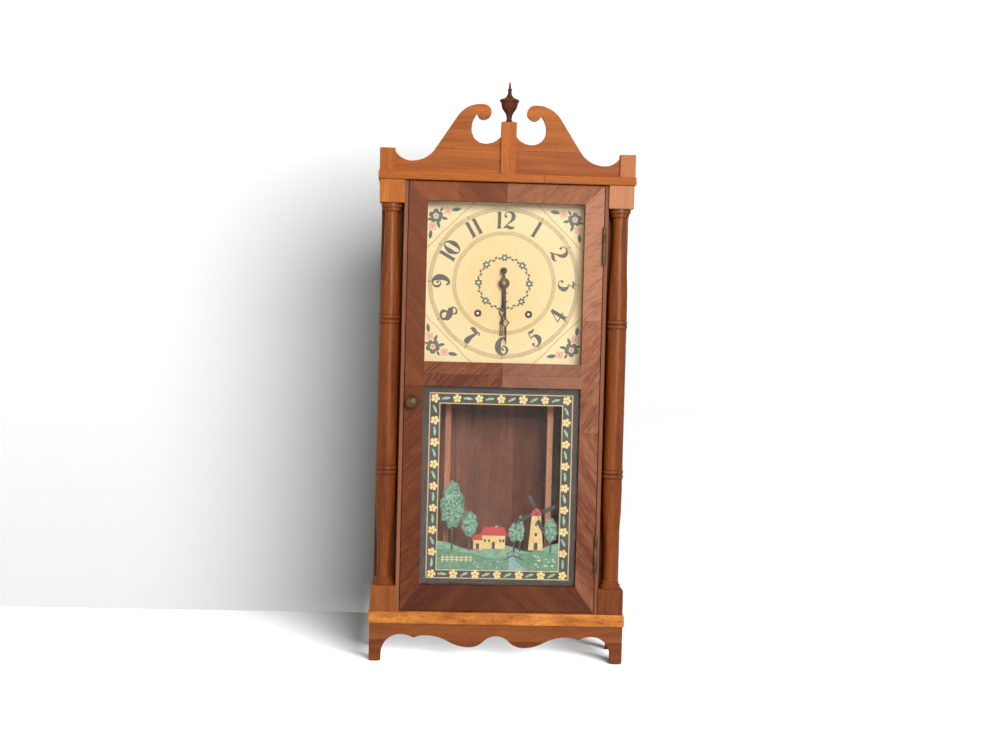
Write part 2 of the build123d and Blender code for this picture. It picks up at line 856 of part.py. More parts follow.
def make_door_members():
    """Two stiles, mitred top and bottom rails, and a middle rail lapped into the stiles."""
    frame = make_door_frame()
    inner = opening_half
    top = wedge(door_top, dial_opening_top)
    bottom = wedge(door_bottom, lower_opening_bottom)
    low = lower_opening_top
    high = dial_opening_bottom
    middle = box((-inner, inner), (door_front, glass_front), (low, high))
    lap = rabbet_width
    middle += box((-inner - lap, inner + lap), (glass_front, door_back), (low + lap, high - lap))
    rails = {
        "door_rail_top": frame & top,
        "door_rail_middle": middle,
        "door_rail_bottom": frame & bottom,
    }
    rest = frame - top - bottom - middle
    right = rest & box((0, door_half), (door_front, door_back), (door_bottom, door_top))
    left = rest & box((-door_half, 0), (door_front, door_back), (door_bottom, door_top))
    right -= hinge_recesses(door_half, -1)
    left -= rod_along_y(knob_x, knob_height, spindle_radius + shaft_clearance, door_front, door_back)
    pin_hole = pin_shank() + glued_clearance
    left -= rod_along_y(knob_x, knob_height - pin_drop, pin_hole, door_front, pin_depth())
    return rails | {"door_stile_left": left, "door_stile_right": right}


def pin_shank():
    return pin_head_radius * 0.6


def pin_depth():
    return door_front + door_thickness / 2


def make_stile_pin():
    """Small brass pin below the knob."""
    head = pin_head_radius
    shank = pin_shank()
    length = door_thickness / 2 - glued_clearance
    edges = polyline([(0, -length), (shank, -length), (shank, 0), (head, 0)])
    edges += [TangentArc((0, head * 0.8), (head, 0), tangent=(1, 0)), Line((0, head * 0.8), (0, -length))]
    return turned_forward(edges, knob_x, door_front, knob_height - pin_drop)


def pane(low, high):
    """Sheet of glass that lies in a rabbet, clear of its edges by the glass play."""
    half = opening_half + rabbet_width - glass_play
    depth = (glass_front, glass_front + glass_thickness)
    return box((-half, half), depth, (low + glass_play, high - glass_play))


def bead_ring(low, high, inner_low, inner_high):
    """Four bevelled beads, mitred round one pane, as separate solids."""
    y_span = (glass_front + glass_thickness, door_back)
    outer_half = opening_half + rabbet_width - glued_clearance
    ring = frame_layer(outer_half, low + glued_clearance, high - glued_clearance, y_span)
    ring -= frame_layer(opening_half, inner_low, inner_high, y_span)
    inner_edges = [edge for edge in ring.edges() if abs(edge.center().Y - door_back) < glued_clearance]
    inner_edges = [edge for edge in inner_edges if is_inner(edge, inner_low, inner_high)]
    ring = chamfer(inner_edges, bead_bevel)
    middle = (inner_low + inner_high) / 2
    uprights = []
    for side in (-1, 1):
        points = [(side * outer_half, low), (side * outer_half, high), (side * opening_half, inner_high),
                  (side * opening_half, inner_low)]
        uprights.append(ring & front_board(polyline(points + points[:1]), door_front, door_thickness))
    rest = ring - uprights[0] - uprights[1]
    levels = [rest & box((-outer_half, outer_half), y_span, (middle, high)),
              rest & box((-outer_half, outer_half), y_span, (low, middle))]
    return [Part() + strip for strip in uprights + levels]


def is_inner(edge, inner_low, inner_high):
    """Whether an edge of a bead ring belongs to its inner outline."""
    centre = edge.center()
    within = abs(centre.X) < opening_half + glued_clearance
    return within and inner_low - glued_clearance < centre.Z < inner_high + glued_clearance


def make_glass_beads():
    upper, lower = rabbet_spans()
    beads = bead_ring(*upper, dial_opening_bottom, dial_opening_top)
    beads += bead_ring(*lower, lower_opening_bottom, lower_opening_top)
    return Compound(children=beads)


def knuckle_spans(z):
    """Lower, middle and upper knuckle of a hinge at mid height z, with a gap between them."""
    third = hinge_length / 3
    half = knuckle_gap / 2
    low = z - hinge_length / 2
    return [(low, low + third - half), (low + third + half, low + 2 * third - half),
            (low + 2 * third + half, low + hinge_length)]


def hinge_leaf_solid(z, x_span, spans, bore):
    """One leaf with its knuckles, cut back where the other leaf's knuckles turn."""
    flat_front = door_front + knuckle_gap * 2
    leaf_back = door_front + hinge_leaf_width
    leaf = box(x_span, (flat_front, leaf_back), (z - hinge_length / 2, z + hinge_length / 2))
    for low, high in spans:
        leaf += box(x_span, (hinge_y, flat_front), (low, high))
        leaf += rod_along_z(hinge_x, hinge_y, knuckle_radius, low, high)
    for low, high in spans:
        leaf -= rod_along_z(hinge_x, hinge_y, bore, low, high)
    return leaf


def make_hinges():
    jamb_x = (jamb_inner + hinge_let_in - hinge_leaf, jamb_inner + hinge_let_in)
    door_x = (door_half - hinge_let_in, door_half - hinge_let_in + hinge_leaf)
    jamb_leaves = []
    door_leaves = []
    pins = []
    held = hinge_pin_radius + glued_clearance
    free = hinge_pin_radius + shaft_clearance
    for z in hinge_centres():
        spans = knuckle_spans(z)
        jamb_leaves.append(hinge_leaf_solid(z, jamb_x, [spans[0], spans[2]], held))
        door_leaves.append(hinge_leaf_solid(z, door_x, spans[1:2], free))
        half = hinge_length / 2
        pin = rod_along_z(hinge_x, hinge_y, hinge_pin_radius, z - half, z + half)
        for end in (z - half, z + half):
            cap = rod_along_z(hinge_x, hinge_y, hinge_pin_radius * 1.6, 0, knuckle_radius / 2)
            pin += Pos(0, 0, end if end > z else end - knuckle_radius / 2) * cap
        pins.append(pin)
    return {
        "jamb_hinge_leaves": Compound(children=[Part() + leaf for leaf in jamb_leaves]),
        "door_hinge_leaves": Compound(children=[Part() + leaf for leaf in door_leaves]),
        "hinge_pins": Compound(children=[Part() + pin for pin in pins]),
    }


def make_door_knob():
    """Brass knob with its spindle, which carries the tongue behind the stile."""
    rose = knob_radius * 0.66
    neck = knob_radius * 0.4
    neck_height = knob_projection * 0.3
    belly = knob_projection * 0.68
    rim_low = (knob_radius * 0.9, belly - knob_radius * 0.22)
    rim_high = (knob_radius * 0.9, belly + knob_radius * 0.16)
    end = door_thickness + tongue_thickness + 2 * hinge_let_in
    edges = polyline([(0, -end), (spindle_radius, -end), (spindle_radius, shaft_clearance)])
    edges += polyline([(spindle_radius, shaft_clearance), (rose, shaft_clearance), (rose, 1.2)])
    edges.append(TangentArc((neck, neck_height), (rose, 1.2), tangent=(0, -1)))
    edges.append(TangentArc((neck, neck_height), rim_low, tangent=(0, 1)))
    edges.append(ThreePointArc(rim_low, (knob_radius, belly), rim_high))
    edges.append(TangentArc((0, knob_projection), rim_high, tangent=(1, 0)))
    edges.append(Line((0, knob_projection), (0, -end)))
    return turned_forward(edges, knob_x, door_front, knob_height)


def make_latch_tongue():
    y_front = door_back + hinge_let_in
    y_back = y_front + tongue_thickness
    half = tongue_width / 2
    reach = (knob_height - tongue_length, knob_height)
    tongue = box((knob_x - half, knob_x + half), (y_front, y_back), reach)
    tongue += rod_along_y(knob_x, knob_height, half, y_front, y_back)
    return tongue - rod_along_y(knob_x, knob_height, spindle_radius + glued_clearance, y_front, y_back)


def tooth_ring(teeth, module, toward, tooth_there):
    """Outline of a gear in the front view; a tooth, or a gap, points at the angle toward."""
    pitch_radius = module * teeth / 2
    tip = pitch_radius + tooth_addendum * module
    root = pitch_radius - tooth_dedendum * module
    half = (pi * module / 2 - backlash) / 2
    slope = tan(radians(pressure_angle))
    half_tip = (half - tooth_addendum * module * slope) / tip
    half_root = min((half + tooth_dedendum * module * slope) / root, pi / teeth * 0.92)
    step = 2 * pi / teeth
    start = radians(toward) + (0 if tooth_there else step / 2)
    points = []
    for index in range(teeth):
        middle = start + index * step
        corners = ((root, -half_root), (tip, -half_tip), (tip, half_tip), (root, half_root))
        points += [(radius * cos(middle + turn), radius * sin(middle + turn)) for radius, turn in corners]
    return make_face(polyline(points + points[:1]))


def gear(teeth, module, place, y_front, thickness, toward, tooth_there=True):
    """Toothed disc at a place in the front view."""
    outline = Pos(place[0], place[1]) * tooth_ring(teeth, module, toward, tooth_there)
    back = Plane((0, y_front + thickness, 0), x_dir=(1, 0, 0), z_dir=(0, -1, 0))
    return extrude(back * outline, amount=thickness)


def minute_stud():
    """Place of the stud that carries the minute wheel, over the middle of the dial."""
    return (0, dial_z + motion_centres)


def make_centre_arbor():
    """Centre arbor with the cannon pinion and the pipe that carries the minute hand."""
    module = 2 * motion_centres / (cannon_teeth + minute_wheel_teeth)
    pinion_front = front_plate_y - minute_wheel_stand_off - cannon_lead
    hand_front = minute_hand_front()
    hand_back = hand_front + hand_thickness
    arbor = gear(cannon_teeth, module, (0, dial_z), pinion_front, cannon_thickness, 90)
    arbor += rod_along_y(0, dial_z, cannon_pipe_radius, hand_back, pinion_front)
    arbor += rod_along_y(0, dial_z, cannon_pipe_radius - hand_seat_step, hand_front, hand_back)
    arbor += rod_along_y(0, dial_z, arbor_radius, hand_front - hand_nut_height, back_plate_y)
    return arbor


def make_minute_wheel():
    """Minute wheel and its pinion, which turn on the stud."""
    wheel_module = 2 * motion_centres / (cannon_teeth + minute_wheel_teeth)
    pinion_module = 2 * motion_centres / (minute_pinion_teeth + hour_wheel_teeth)
    place = minute_stud()
    wheel_front = front_plate_y - minute_wheel_stand_off
    wheel_back = wheel_front + minute_wheel_thickness
    pinion_front = wheel_front - minute_pinion_length
    wheel = gear(minute_wheel_teeth, wheel_module, place, wheel_front, minute_wheel_thickness, 270, False)
    wheel += gear(minute_pinion_teeth, pinion_module, place, pinion_front, minute_pinion_length, 270)
    return wheel - rod_along_y(*place, stud_radius + shaft_clearance, pinion_front, wheel_back)


def make_hour_wheel():
    """Hour wheel and the pipe that carries the hour hand round the cannon pipe."""
    module = 2 * motion_centres / (minute_pinion_teeth + hour_wheel_teeth)
    wheel_front = front_plate_y - hour_wheel_stand_off
    wheel_back = wheel_front + hour_wheel_thickness
    hand_front = hour_hand_front()
    hand_back = hand_front + hand_thickness
    wheel = gear(hour_wheel_teeth, module, (0, dial_z), wheel_front, hour_wheel_thickness, 90, False)
    wheel += rod_along_y(0, dial_z, hour_pipe_radius, hand_back, wheel_front)
    wheel += rod_along_y(0, dial_z, hour_pipe_radius - hand_seat_step, hand_front, hand_back)
    return wheel - rod_along_y(0, dial_z, cannon_pipe_radius + shaft_clearance, hand_front, wheel_back)


def pillar_places():
    """The four pillars, near the corners of the movement plates."""
    x = plate_half_width - pillar_inset
    levels = (seat_top + pillar_inset, dial_z + plate_rise - pillar_inset)
    return [(side * x, z) for side in (-1, 1) for z in levels]


def seat_bolt_places():
    return [-(plate_half_width - pillar_inset), plate_half_width - pillar_inset]


def movement_plate(y_front):
    """Brass plate with the holes that the arbors turn in."""
    y_back = y_front + plate_thickness
    plate = box((-plate_half_width, plate_half_width), (y_front, y_back), (seat_top, dial_z + plate_rise))
    corners = plate.edges().filter_by(Axis.Y)
    plate = fillet(corners, pillar_radius)
    holes = [(0, dial_z, arbor_radius), (0, dial_z + anchor_rise, arbor_radius)]
    holes += [(side * winding_x, winding_z, winding_arbor_radius) for side in (-1, 1)]
    holes.append((hammer_x, dial_z + hammer_rise, arbor_radius))
    for x, z, radius in holes:
        plate -= rod_along_y(x, z, radius + shaft_clearance, y_front, y_back)
    return plate


def make_front_plate():
    """Front plate, with the minute wheel's stud riveted in."""
    plate = movement_plate(front_plate_y)
    x, z = minute_stud()
    plate += rod_along_y(x, z, stud_shoulder_radius, front_plate_y - stud_shoulder, front_plate_y)
    return plate + rod_along_y(x, z, stud_radius, front_plate_y - stud_length, front_plate_y)


def make_pillars():
    solids = []
    for x, z in pillar_places():
        pillar = rod_along_y(x, z, pillar_radius, pillar_front, pillar_back)
        if z < dial_z:
            bore = seat_bolt_radius + glued_clearance
            pillar -= rod_along_z(x, seat_y, bore, z - pillar_radius, z)
        solids.append(Part() + pillar)
    return Compound(children=solids)


def make_seat_bolts():
    """Bolts from under the seat board into the two lower pillars."""
    solids = []
    for x in seat_bolt_places():
        top = seat_top + pillar_inset - glued_clearance
        bolt = rod_along_z(x, seat_y, seat_bolt_radius, seat_bottom, top)
        bolt += rod_along_z(x, seat_y, seat_bolt_head_radius, seat_bottom - seat_bolt_head, seat_bottom)
        solids.append(Part() + bolt)
    return Compound(children=solids)


def make_barrel(x):
    """Spring barrel: a drum between two rims, bored for its winding arbor."""
    y_front = seat_y - barrel_length / 2
    y_back = seat_y + barrel_length / 2
    barrel = rod_along_y(x, winding_z, barrel_radius - barrel_rim, y_front, y_back)
    barrel += rod_along_y(x, winding_z, barrel_radius, y_front, y_front + barrel_rim)
    barrel += rod_along_y(x, winding_z, barrel_radius, y_back - barrel_rim, y_back)
    return barrel - rod_along_y(x, winding_z, winding_arbor_radius + shaft_clearance, y_front, y_back)


def make_winding_arbor(x):
    """Arbor with the square that the key fits, just behind the dial's face."""
    half = winding_square / 2
    depth = (dial_front + winding_square_sunk, dial_back + winding_shoulder_gap)
    arbor = rod_along_y(x, winding_z, winding_arbor_radius, depth[1], back_plate_y)
    return arbor + box((x - half, x + half), depth, (winding_z - half, winding_z + half))


def make_anchor():
    """Anchor with two pallets on its arbor, and the crutch behind the back plate."""
    z = pendulum_pivot()
    back = Plane((0, seat_y + anchor_thickness / 2, z), x_dir=(1, 0, 0), z_dir=(0, -1, 0))
    tip = anchor_span - pallet_width
    outer = [(0, anchor_ridge), (anchor_span, -pallet_drop * 0.45), (anchor_span, -pallet_drop)]
    inner = [(tip, -pallet_drop), (tip, -pallet_drop * 0.55), (0, -anchor_ridge / 2)]
    anchor = extrude(back * make_face(mirrored(polyline(outer + inner))), amount=anchor_thickness)
    crutch_y = back_plate_y + pendulum_stand_off / 2
    crutch_depth = (crutch_y - crutch_thickness / 2, crutch_y + crutch_thickness / 2)
    anchor += rod_along_y(0, z, arbor_radius, front_plate_y, crutch_depth[1])
    low = z - crutch_length
    anchor += box((-crutch_width / 2, crutch_width / 2), crutch_depth, (low, z))
    slot = pendulum_rod_width / 2 + shaft_clearance * 2
    arm_depth = (crutch_depth[0], pendulum_y + pendulum_rod_thickness)
    anchor += box((-slot - fork_arm, slot + fork_arm), crutch_depth, (low - fork_height, low))
    for side in (-1, 1):
        anchor += box((side * slot, side * (slot + fork_arm)), arm_depth, (low - fork_height, low))
    return anchor


def make_pendulum_cock():
    """Bracket on the back plate that the pendulum hangs from, in line with the anchor's arbor."""
    z = pendulum_pivot()
    across = (-cock_half_width, cock_half_width)
    low = z + arbor_radius * 3
    high = low + cock_arm_height
    cheeks = (pendulum_y - cock_cheek_half_depth, pendulum_y + cock_cheek_half_depth)
    cheek_low = z - cock_cheek_drop
    cock = box(across, (back_plate_y, cheeks[1]), (low, high))
    flange = (back_plate_y, back_plate_y + cock_flange_thickness)
    cock += box(across, flange, (low, low + cock_flange_height))
    cock += box(across, cheeks, (cheek_low, high))
    cock -= box((-cock_slot_width / 2, cock_slot_width / 2), cheeks, (cheek_low, z))
    return cock - rod_along_y(0, z, suspension_pin_radius + shaft_clearance, *cheeks)


def pendulum_pivot():
    """Height of the pin that the pendulum swings on."""
    return dial_z + anchor_rise


def make_pendulum_rod():
    """Suspension, leader and rod, down to the thread of the rating nut."""
    top = pendulum_pivot()
    bob_z = top - pendulum_length
    leader = top - suspension_length
    half = pendulum_rod_width / 2
    flat = pendulum_rod_thickness / 2
    flat_end = bob_z + bob_radius - bob_slot_depth + glued_clearance
    strip = suspension_thickness / 2
    depth = (pendulum_y - suspension_width / 2, pendulum_y + suspension_width / 2)
    rod = box((-strip, strip), depth, (leader, top))
    rod += rod_along_y(0, top, suspension_pin_radius, *depth)
    rod += box((-half, half), (pendulum_y - flat, pendulum_y + flat), (flat_end, leader + half))
    low = bob_z - bob_radius - rating_nut_height - bob_slot_depth
    return rod + rod_along_z(0, pendulum_y, rating_thread_radius, low, bob_z + bob_radius)


def make_pendulum_bob():
    """Lens shaped bob, bored for the rod."""
    bob_z = pendulum_pivot() - pendulum_length
    rim = bob_rim_thickness / 2
    half = bob_thickness / 2
    edges = [Line((0, -half), (0, half)), TangentArc((0, half), (bob_radius, rim), tangent=(1, 0))]
    edges += [Line((bob_radius, rim), (bob_radius, -rim))]
    edges += [TangentArc((0, -half), (bob_radius, -rim), tangent=(1, 0))]
    bob = turned_forward(edges, 0, pendulum_y, bob_z)
    low = bob_z - bob_radius - 1
    high = bob_z + bob_radius + 1
    bob -= rod_along_z(0, pendulum_y, rating_thread_radius + glued_clearance, low, high)
    slot = pendulum_rod_width / 2 + glued_clearance
    flat = pendulum_rod_thickness / 2 + glued_clearance
    slot_low = bob_z + bob_radius - bob_slot_depth
    return bob - box((-slot, slot), (pendulum_y - flat, pendulum_y + flat), (slot_low, high))


def make_rating_nut():
    bob_z = pendulum_pivot() - pendulum_length
    top = bob_z - bob_radius - glued_clearance
    low = top - rating_nut_height
    nut = rod_along_z(0, pendulum_y, rating_nut_radius, low, top)
    return nut - rod_along_z(0, pendulum_y, rating_thread_radius + shaft_clearance, low, top)


def gong_centre():
    """Middle of the gong's fixing block."""
    return (gong_x, dial_z - gong_drop)


def gong_plane_y():
    return panel_front - gong_stand_off


def gong_arcs():
    """Centre, radius and turning side of each half turn, from the inside out."""
    x, z = gong_centre()
    lead = gong_block_width / 2 + 2 * gong_wire_radius + gong_bend_radius
    left = x - lead
    level = z - gong_bend_radius
    arcs = []
    radius = gong_inner_radius
    end = left
    for index in range(gong_half_turns):
        side = 1 if index % 2 == 0 else -1
        centre = end + side * radius
        arcs.append((centre, level, radius, side))
        end = centre + side * radius
        radius += gong_pitch / 2
    return arcs


def make_gong_coil():
    """Coiled gong: one wire out of its block, round a quarter bend and through half turns that grow."""
    x, z = gong_centre()
    face = x - gong_block_width / 2
    straight = face - 2 * gong_wire_radius
    bend_centre = (straight, z - gong_bend_radius)
    edges = [Line((face, z), (straight, z)), CenterArc(bend_centre, gong_bend_radius, 90, 90)]
    last = None
    for centre, level, radius, side in gong_arcs():
        start_angle = 180 if side == 1 else 0
        edges.append(CenterArc((centre, level), radius, start_angle, 180))
        last = (centre + side * radius, level, side)
    end_x, level, side = last
    edges.append(Line((end_x, level), (end_x, level + side * 4 * gong_wire_radius)))
    plane = Plane((0, gong_plane_y(), 0), x_dir=(1, 0, 0), z_dir=(0, -1, 0))
    path = plane * Wire(edges)
    section = Plane(origin=path @ 0, z_dir=path % 0) * Circle(gong_wire_radius)
    return sweep(section, path=path)


def gong_gap():
    """Least gap between two turns of the gong wire, measured on points along them."""
    turns = []
    for centre, level, radius, side in gong_arcs():
        base = pi if side == 1 else 0
        steps = [base + pi * step / 24 for step in range(25)]
        turns.append([(centre + radius * cos(turn), level + radius * sin(turn)) for turn in steps])
    gaps = []
    for index, turn in enumerate(turns):
        for other in turns[index + 2:]:
            gaps += [hypot(a[0] - b[0], a[1] - b[1]) for a in turn for b in other]
    return min(gaps) - 2 * gong_wire_radius


def make_gong_block():
    """Iron block that holds the gong's inner end, on the back panel."""
    x, z = gong_centre()
    half = gong_block_width / 2
    y_front = gong_plane_y() - half
    return box((x - half, x + half), (y_front, panel_front), (z - half, z + half))


def gong_top():
    """Highest place of the gong wire on the plumb line under the hammer's head."""
    head_x = hammer_x + hammer_reach
    tops = []
    for centre, level, radius, side in gong_arcs():
        offset = abs(head_x - centre)
        if side == -1 and offset < radius:
            tops.append(level + sqrt(radius**2 - offset**2))
    return max(tops) + gong_wire_radius


def make_strike_hammer():
    """Hammer on its arbor between the plates, with the arm behind the back plate."""
    z = dial_z + hammer_rise
    arm_y = back_plate_y + hammer_arm_stand_off
    head_x = hammer_x + hammer_reach
    head_low = gong_top() + hammer_rest_gap
    neck_z = head_low + hammer_head_length + hammer_neck / 2
    arm_depth = (arm_y - hammer_arm_thickness / 2, arm_y + hammer_arm_thickness / 2)
    hammer = rod_along_y(hammer_x, z, arbor_radius, front_plate_y, arm_depth[1])
    rise = neck_z - z
    arm = Box(hypot(hammer_reach, rise), hammer_arm_thickness, hammer_arm_width)
    tilt = -atan2(rise, hammer_reach) * 180 / pi
    hammer += Pos(hammer_x + hammer_reach / 2, arm_y, z + rise / 2) * Rot(0, tilt, 0) * arm
    hammer += rod_along_y(head_x, neck_z, hammer_arm_width / 2, arm_depth[0], gong_plane_y())
    head_top = neck_z + hammer_neck / 2
    return hammer + rod_along_z(head_x, gong_plane_y(), hammer_head_radius, head_low, head_top)


def make_back_panel():
    return box((-side_inner, side_inner), (panel_front, case_back), (base_top, top_bottom))


jamb = make_jamb()
column = make_column()
pieces = {
    "base_board": make_case_board(apron_height, base_thickness),
    "front_apron": make_front_apron(),
    "side_aprons": make_side_aprons(),
    "plinth_blocks": make_corner_blocks(base_top, plinth_top, plinth_top),
    "column_left": other_side(column),
    "column_right": column,
    "cap_blocks": make_corner_blocks(cap_bottom, top_bottom, cap_bottom),
    "top_board": make_case_board(top_bottom, top_thickness),
    "crest_board": make_crest_board(),
    "centre_plinth": make_centre_plinth(),
    "side_plinths": make_side_plinths(),
    "finial": make_finial(),
    "side_panel_left": other_side(make_side_panel()),
    "side_panel_right": make_side_panel(),
    "niche_backs": make_niche_backs(),
    "door_jamb_left": make_latch_jamb(),
    "door_jamb_right": jamb - hinge_recesses(jamb_inner, 1),
    "back_panel": make_back_panel(),
    "movement_posts": make_movement_posts(),
    "seat_board": make_seat_board(),
    "inner_cleats": make_inner_cleats(),
    "dial_plate": make_dial_plate(),
    "winding_grommets": make_winding_grommets(),
    "hour_hand": make_hour_hand(),
    "minute_hand": make_minute_hand(),
    "hand_nut": make_hand_nut(),
    "upper_glass": pane(*rabbet_spans()[0]),
    "lower_glass": pane(*rabbet_spans()[1]),
    "glass_beads": make_glass_beads(),
    "door_knob": make_door_knob(),
    "latch_tongue": make_latch_tongue(),
    "stile_pin": make_stile_pin(),
    "movement_front_plate": make_front_plate(),
    "movement_back_plate": movement_plate(pillar_back),
    "plate_pillars": make_pillars(),
    "seat_bolts": make_seat_bolts(),
    "time_barrel": make_barrel(winding_x),
    "strike_barrel": make_barrel(-winding_x),
    "time_winding_arbor": make_winding_arbor(winding_x),
    "strike_winding_arbor": make_winding_arbor(-winding_x),
    "centre_arbor": make_centre_arbor(),
    "minute_wheel": make_minute_wheel(),
    "hour_wheel": make_hour_wheel(),
    "anchor_and_crutch": make_anchor(),
    "pendulum_cock": make_pendulum_cock(),
    "pendulum_rod": make_pendulum_rod(),
    "pendulum_bob": make_pendulum_bob(),
    "rating_nut": make_rating_nut(),
    "strike_hammer": make_strike_hammer(),
    "gong_coil": make_gong_coil(),
    "gong_block": make_gong_block(),
}
pieces |= make_door_members()
pieces |= make_hinges()

for name, piece in pieces.items():
    export_step(piece, f"parts/{name}.step")

print(f"{len(pieces)} pieces, least gap in the gong coil {gong_gap():.2f} mm")
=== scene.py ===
import math
import random

import bpy
from mathutils import Matrix, Vector


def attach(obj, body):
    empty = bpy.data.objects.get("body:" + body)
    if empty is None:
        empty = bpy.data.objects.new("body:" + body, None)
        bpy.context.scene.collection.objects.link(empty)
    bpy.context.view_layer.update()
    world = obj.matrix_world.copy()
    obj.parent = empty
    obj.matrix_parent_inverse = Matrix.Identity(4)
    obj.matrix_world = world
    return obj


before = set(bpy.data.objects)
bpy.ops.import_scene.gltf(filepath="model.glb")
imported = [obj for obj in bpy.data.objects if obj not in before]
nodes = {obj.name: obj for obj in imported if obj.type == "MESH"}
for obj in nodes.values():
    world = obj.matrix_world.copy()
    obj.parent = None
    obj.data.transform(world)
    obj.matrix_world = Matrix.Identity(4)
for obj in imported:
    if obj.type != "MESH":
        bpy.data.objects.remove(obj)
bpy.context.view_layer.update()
print("frame loaded with", len(nodes), "nodes")


def mm(*lengths):
    made = [length / 1000 for length in lengths]
    return made[0] if len(made) == 1 else tuple(made)


def hexColour(text):
    # sRGB hex to the linear values that the shaders take
    made = []
    for start in (1, 3, 5):
        level = int(text[start:start + 2], 16) / 255
        made.append(level / 12.92 if level <= 0.04045 else ((level + 0.055) / 1.055) ** 2.4)
    return (*made, 1.0)


def addNode(tree, kind, inputs=None, **settings):
    # a number or colour fills an input, a socket is linked to it
    node = tree.nodes.new(kind)
    for key, value in settings.items():
        setattr(node, key, value)
    for key, value in (inputs or {}).items():
        if isinstance(value, bpy.types.NodeSocket):
            tree.links.new(value, node.inputs[key])
        elif value is not None:
            node.inputs[key].default_value = value
    return node


def maths(tree, operation, *values):
    node = addNode(tree, "ShaderNodeMath", dict(enumerate(values)), operation=operation)
    return node.outputs[0]


def rescale(tree, value, low, high, toLow=0.0, toHigh=1.0):
    inputs = {"Value": value, "From Min": low, "From Max": high, "To Min": toLow, "To Max": toHigh}
    return addNode(tree, "ShaderNodeMapRange", inputs).outputs[0]


def mixColour(tree, amount, under, over, blend="MIX"):
    inputs = {0: amount, 6: under, 7: over}
    return addNode(tree, "ShaderNodeMix", inputs, data_type="RGBA", blend_type=blend).outputs[2]


def noise(tree, place, scale, detail=2.0, distortion=0.0):
    inputs = {"Vector": place, "Scale": scale, "Detail": detail, "Distortion": distortion}
    return addNode(tree, "ShaderNodeTexNoise", inputs).outputs[0]


def stretched(tree, place, stretch, shift=(0, 0, 0)):
    # squeezes the pattern's first axis, so that its marks run long that way
    inputs = {"Vector": place, "Location": shift, "Scale": (1 / stretch, 1, 1)}
    return addNode(tree, "ShaderNodeMapping", inputs).outputs[0]


def newMaterial(name):
    material = bpy.data.materials.new(name)
    material.use_nodes = True
    tree = material.node_tree
    tree.nodes.clear()
    place = addNode(tree, "ShaderNodeTexCoord").outputs["Object"]
    return material, tree, place


def seenRays(tree):
    # 1 for the rays that show the backdrop: the camera's, and those mirrored or passed by metal and glass
    path = addNode(tree, "ShaderNodeLightPath").outputs
    made = maths(tree, "ADD", path["Is Camera Ray"], path["Is Glossy Ray"])
    made = maths(tree, "MINIMUM", maths(tree, "ADD", made, path["Is Transmission Ray"]), 1.0)
    # not the rays that light a matt surface behind the panes
    return maths(tree, "MULTIPLY", made, maths(tree, "LESS_THAN", path["Diffuse Depth"], 0.5))


def closeMaterial(tree, surface):
    addNode(tree, "ShaderNodeOutputMaterial", {"Surface": surface})


def patchMask(tree, axes, where):
    # 1 inside a patch of the face, given by limits such as ("x", ">", 0)
    mask = None
    for axis, side, limit in where:
        operation = "GREATER_THAN" if side == ">" else "LESS_THAN"
        step = maths(tree, operation, axes[axis], mm(limit))
        mask = step if mask is None else maths(tree, "MULTIPLY", mask, step)
    return mask


def blendNumber(tree, mask, before, after):
    node = addNode(tree, "ShaderNodeMix", {0: mask, 2: before, 3: after}, data_type="FLOAT")
    return node.outputs[0]


# ---------------------------------------------------------------- woods
# Stained and shellacked hardwood, planed and sanded by hand: long soft bands of tone along the
# grain, fine fibres, short dark pores, and a low sheen that breaks up over the fibres.
# Fibres are really about 0.3 mm and pores 0.15 mm wide. Both are drawn two to four times that.
woodBase = {
    "dark": "#8f4a22", "light": "#cf7f40", "pore": "#4a2412", "turn": 0.0, "tone": 0.5,
    "drift": 1.1, "band": 1.3, "fibre": 0.7, "stroke": 0.0, "pores": 0.5, "mottle": 0.0,
    "rough": 0.45, "coat": 0.3, "shift": (0.0, 0.0, 0.0), "patches": [], "seams": [],
}


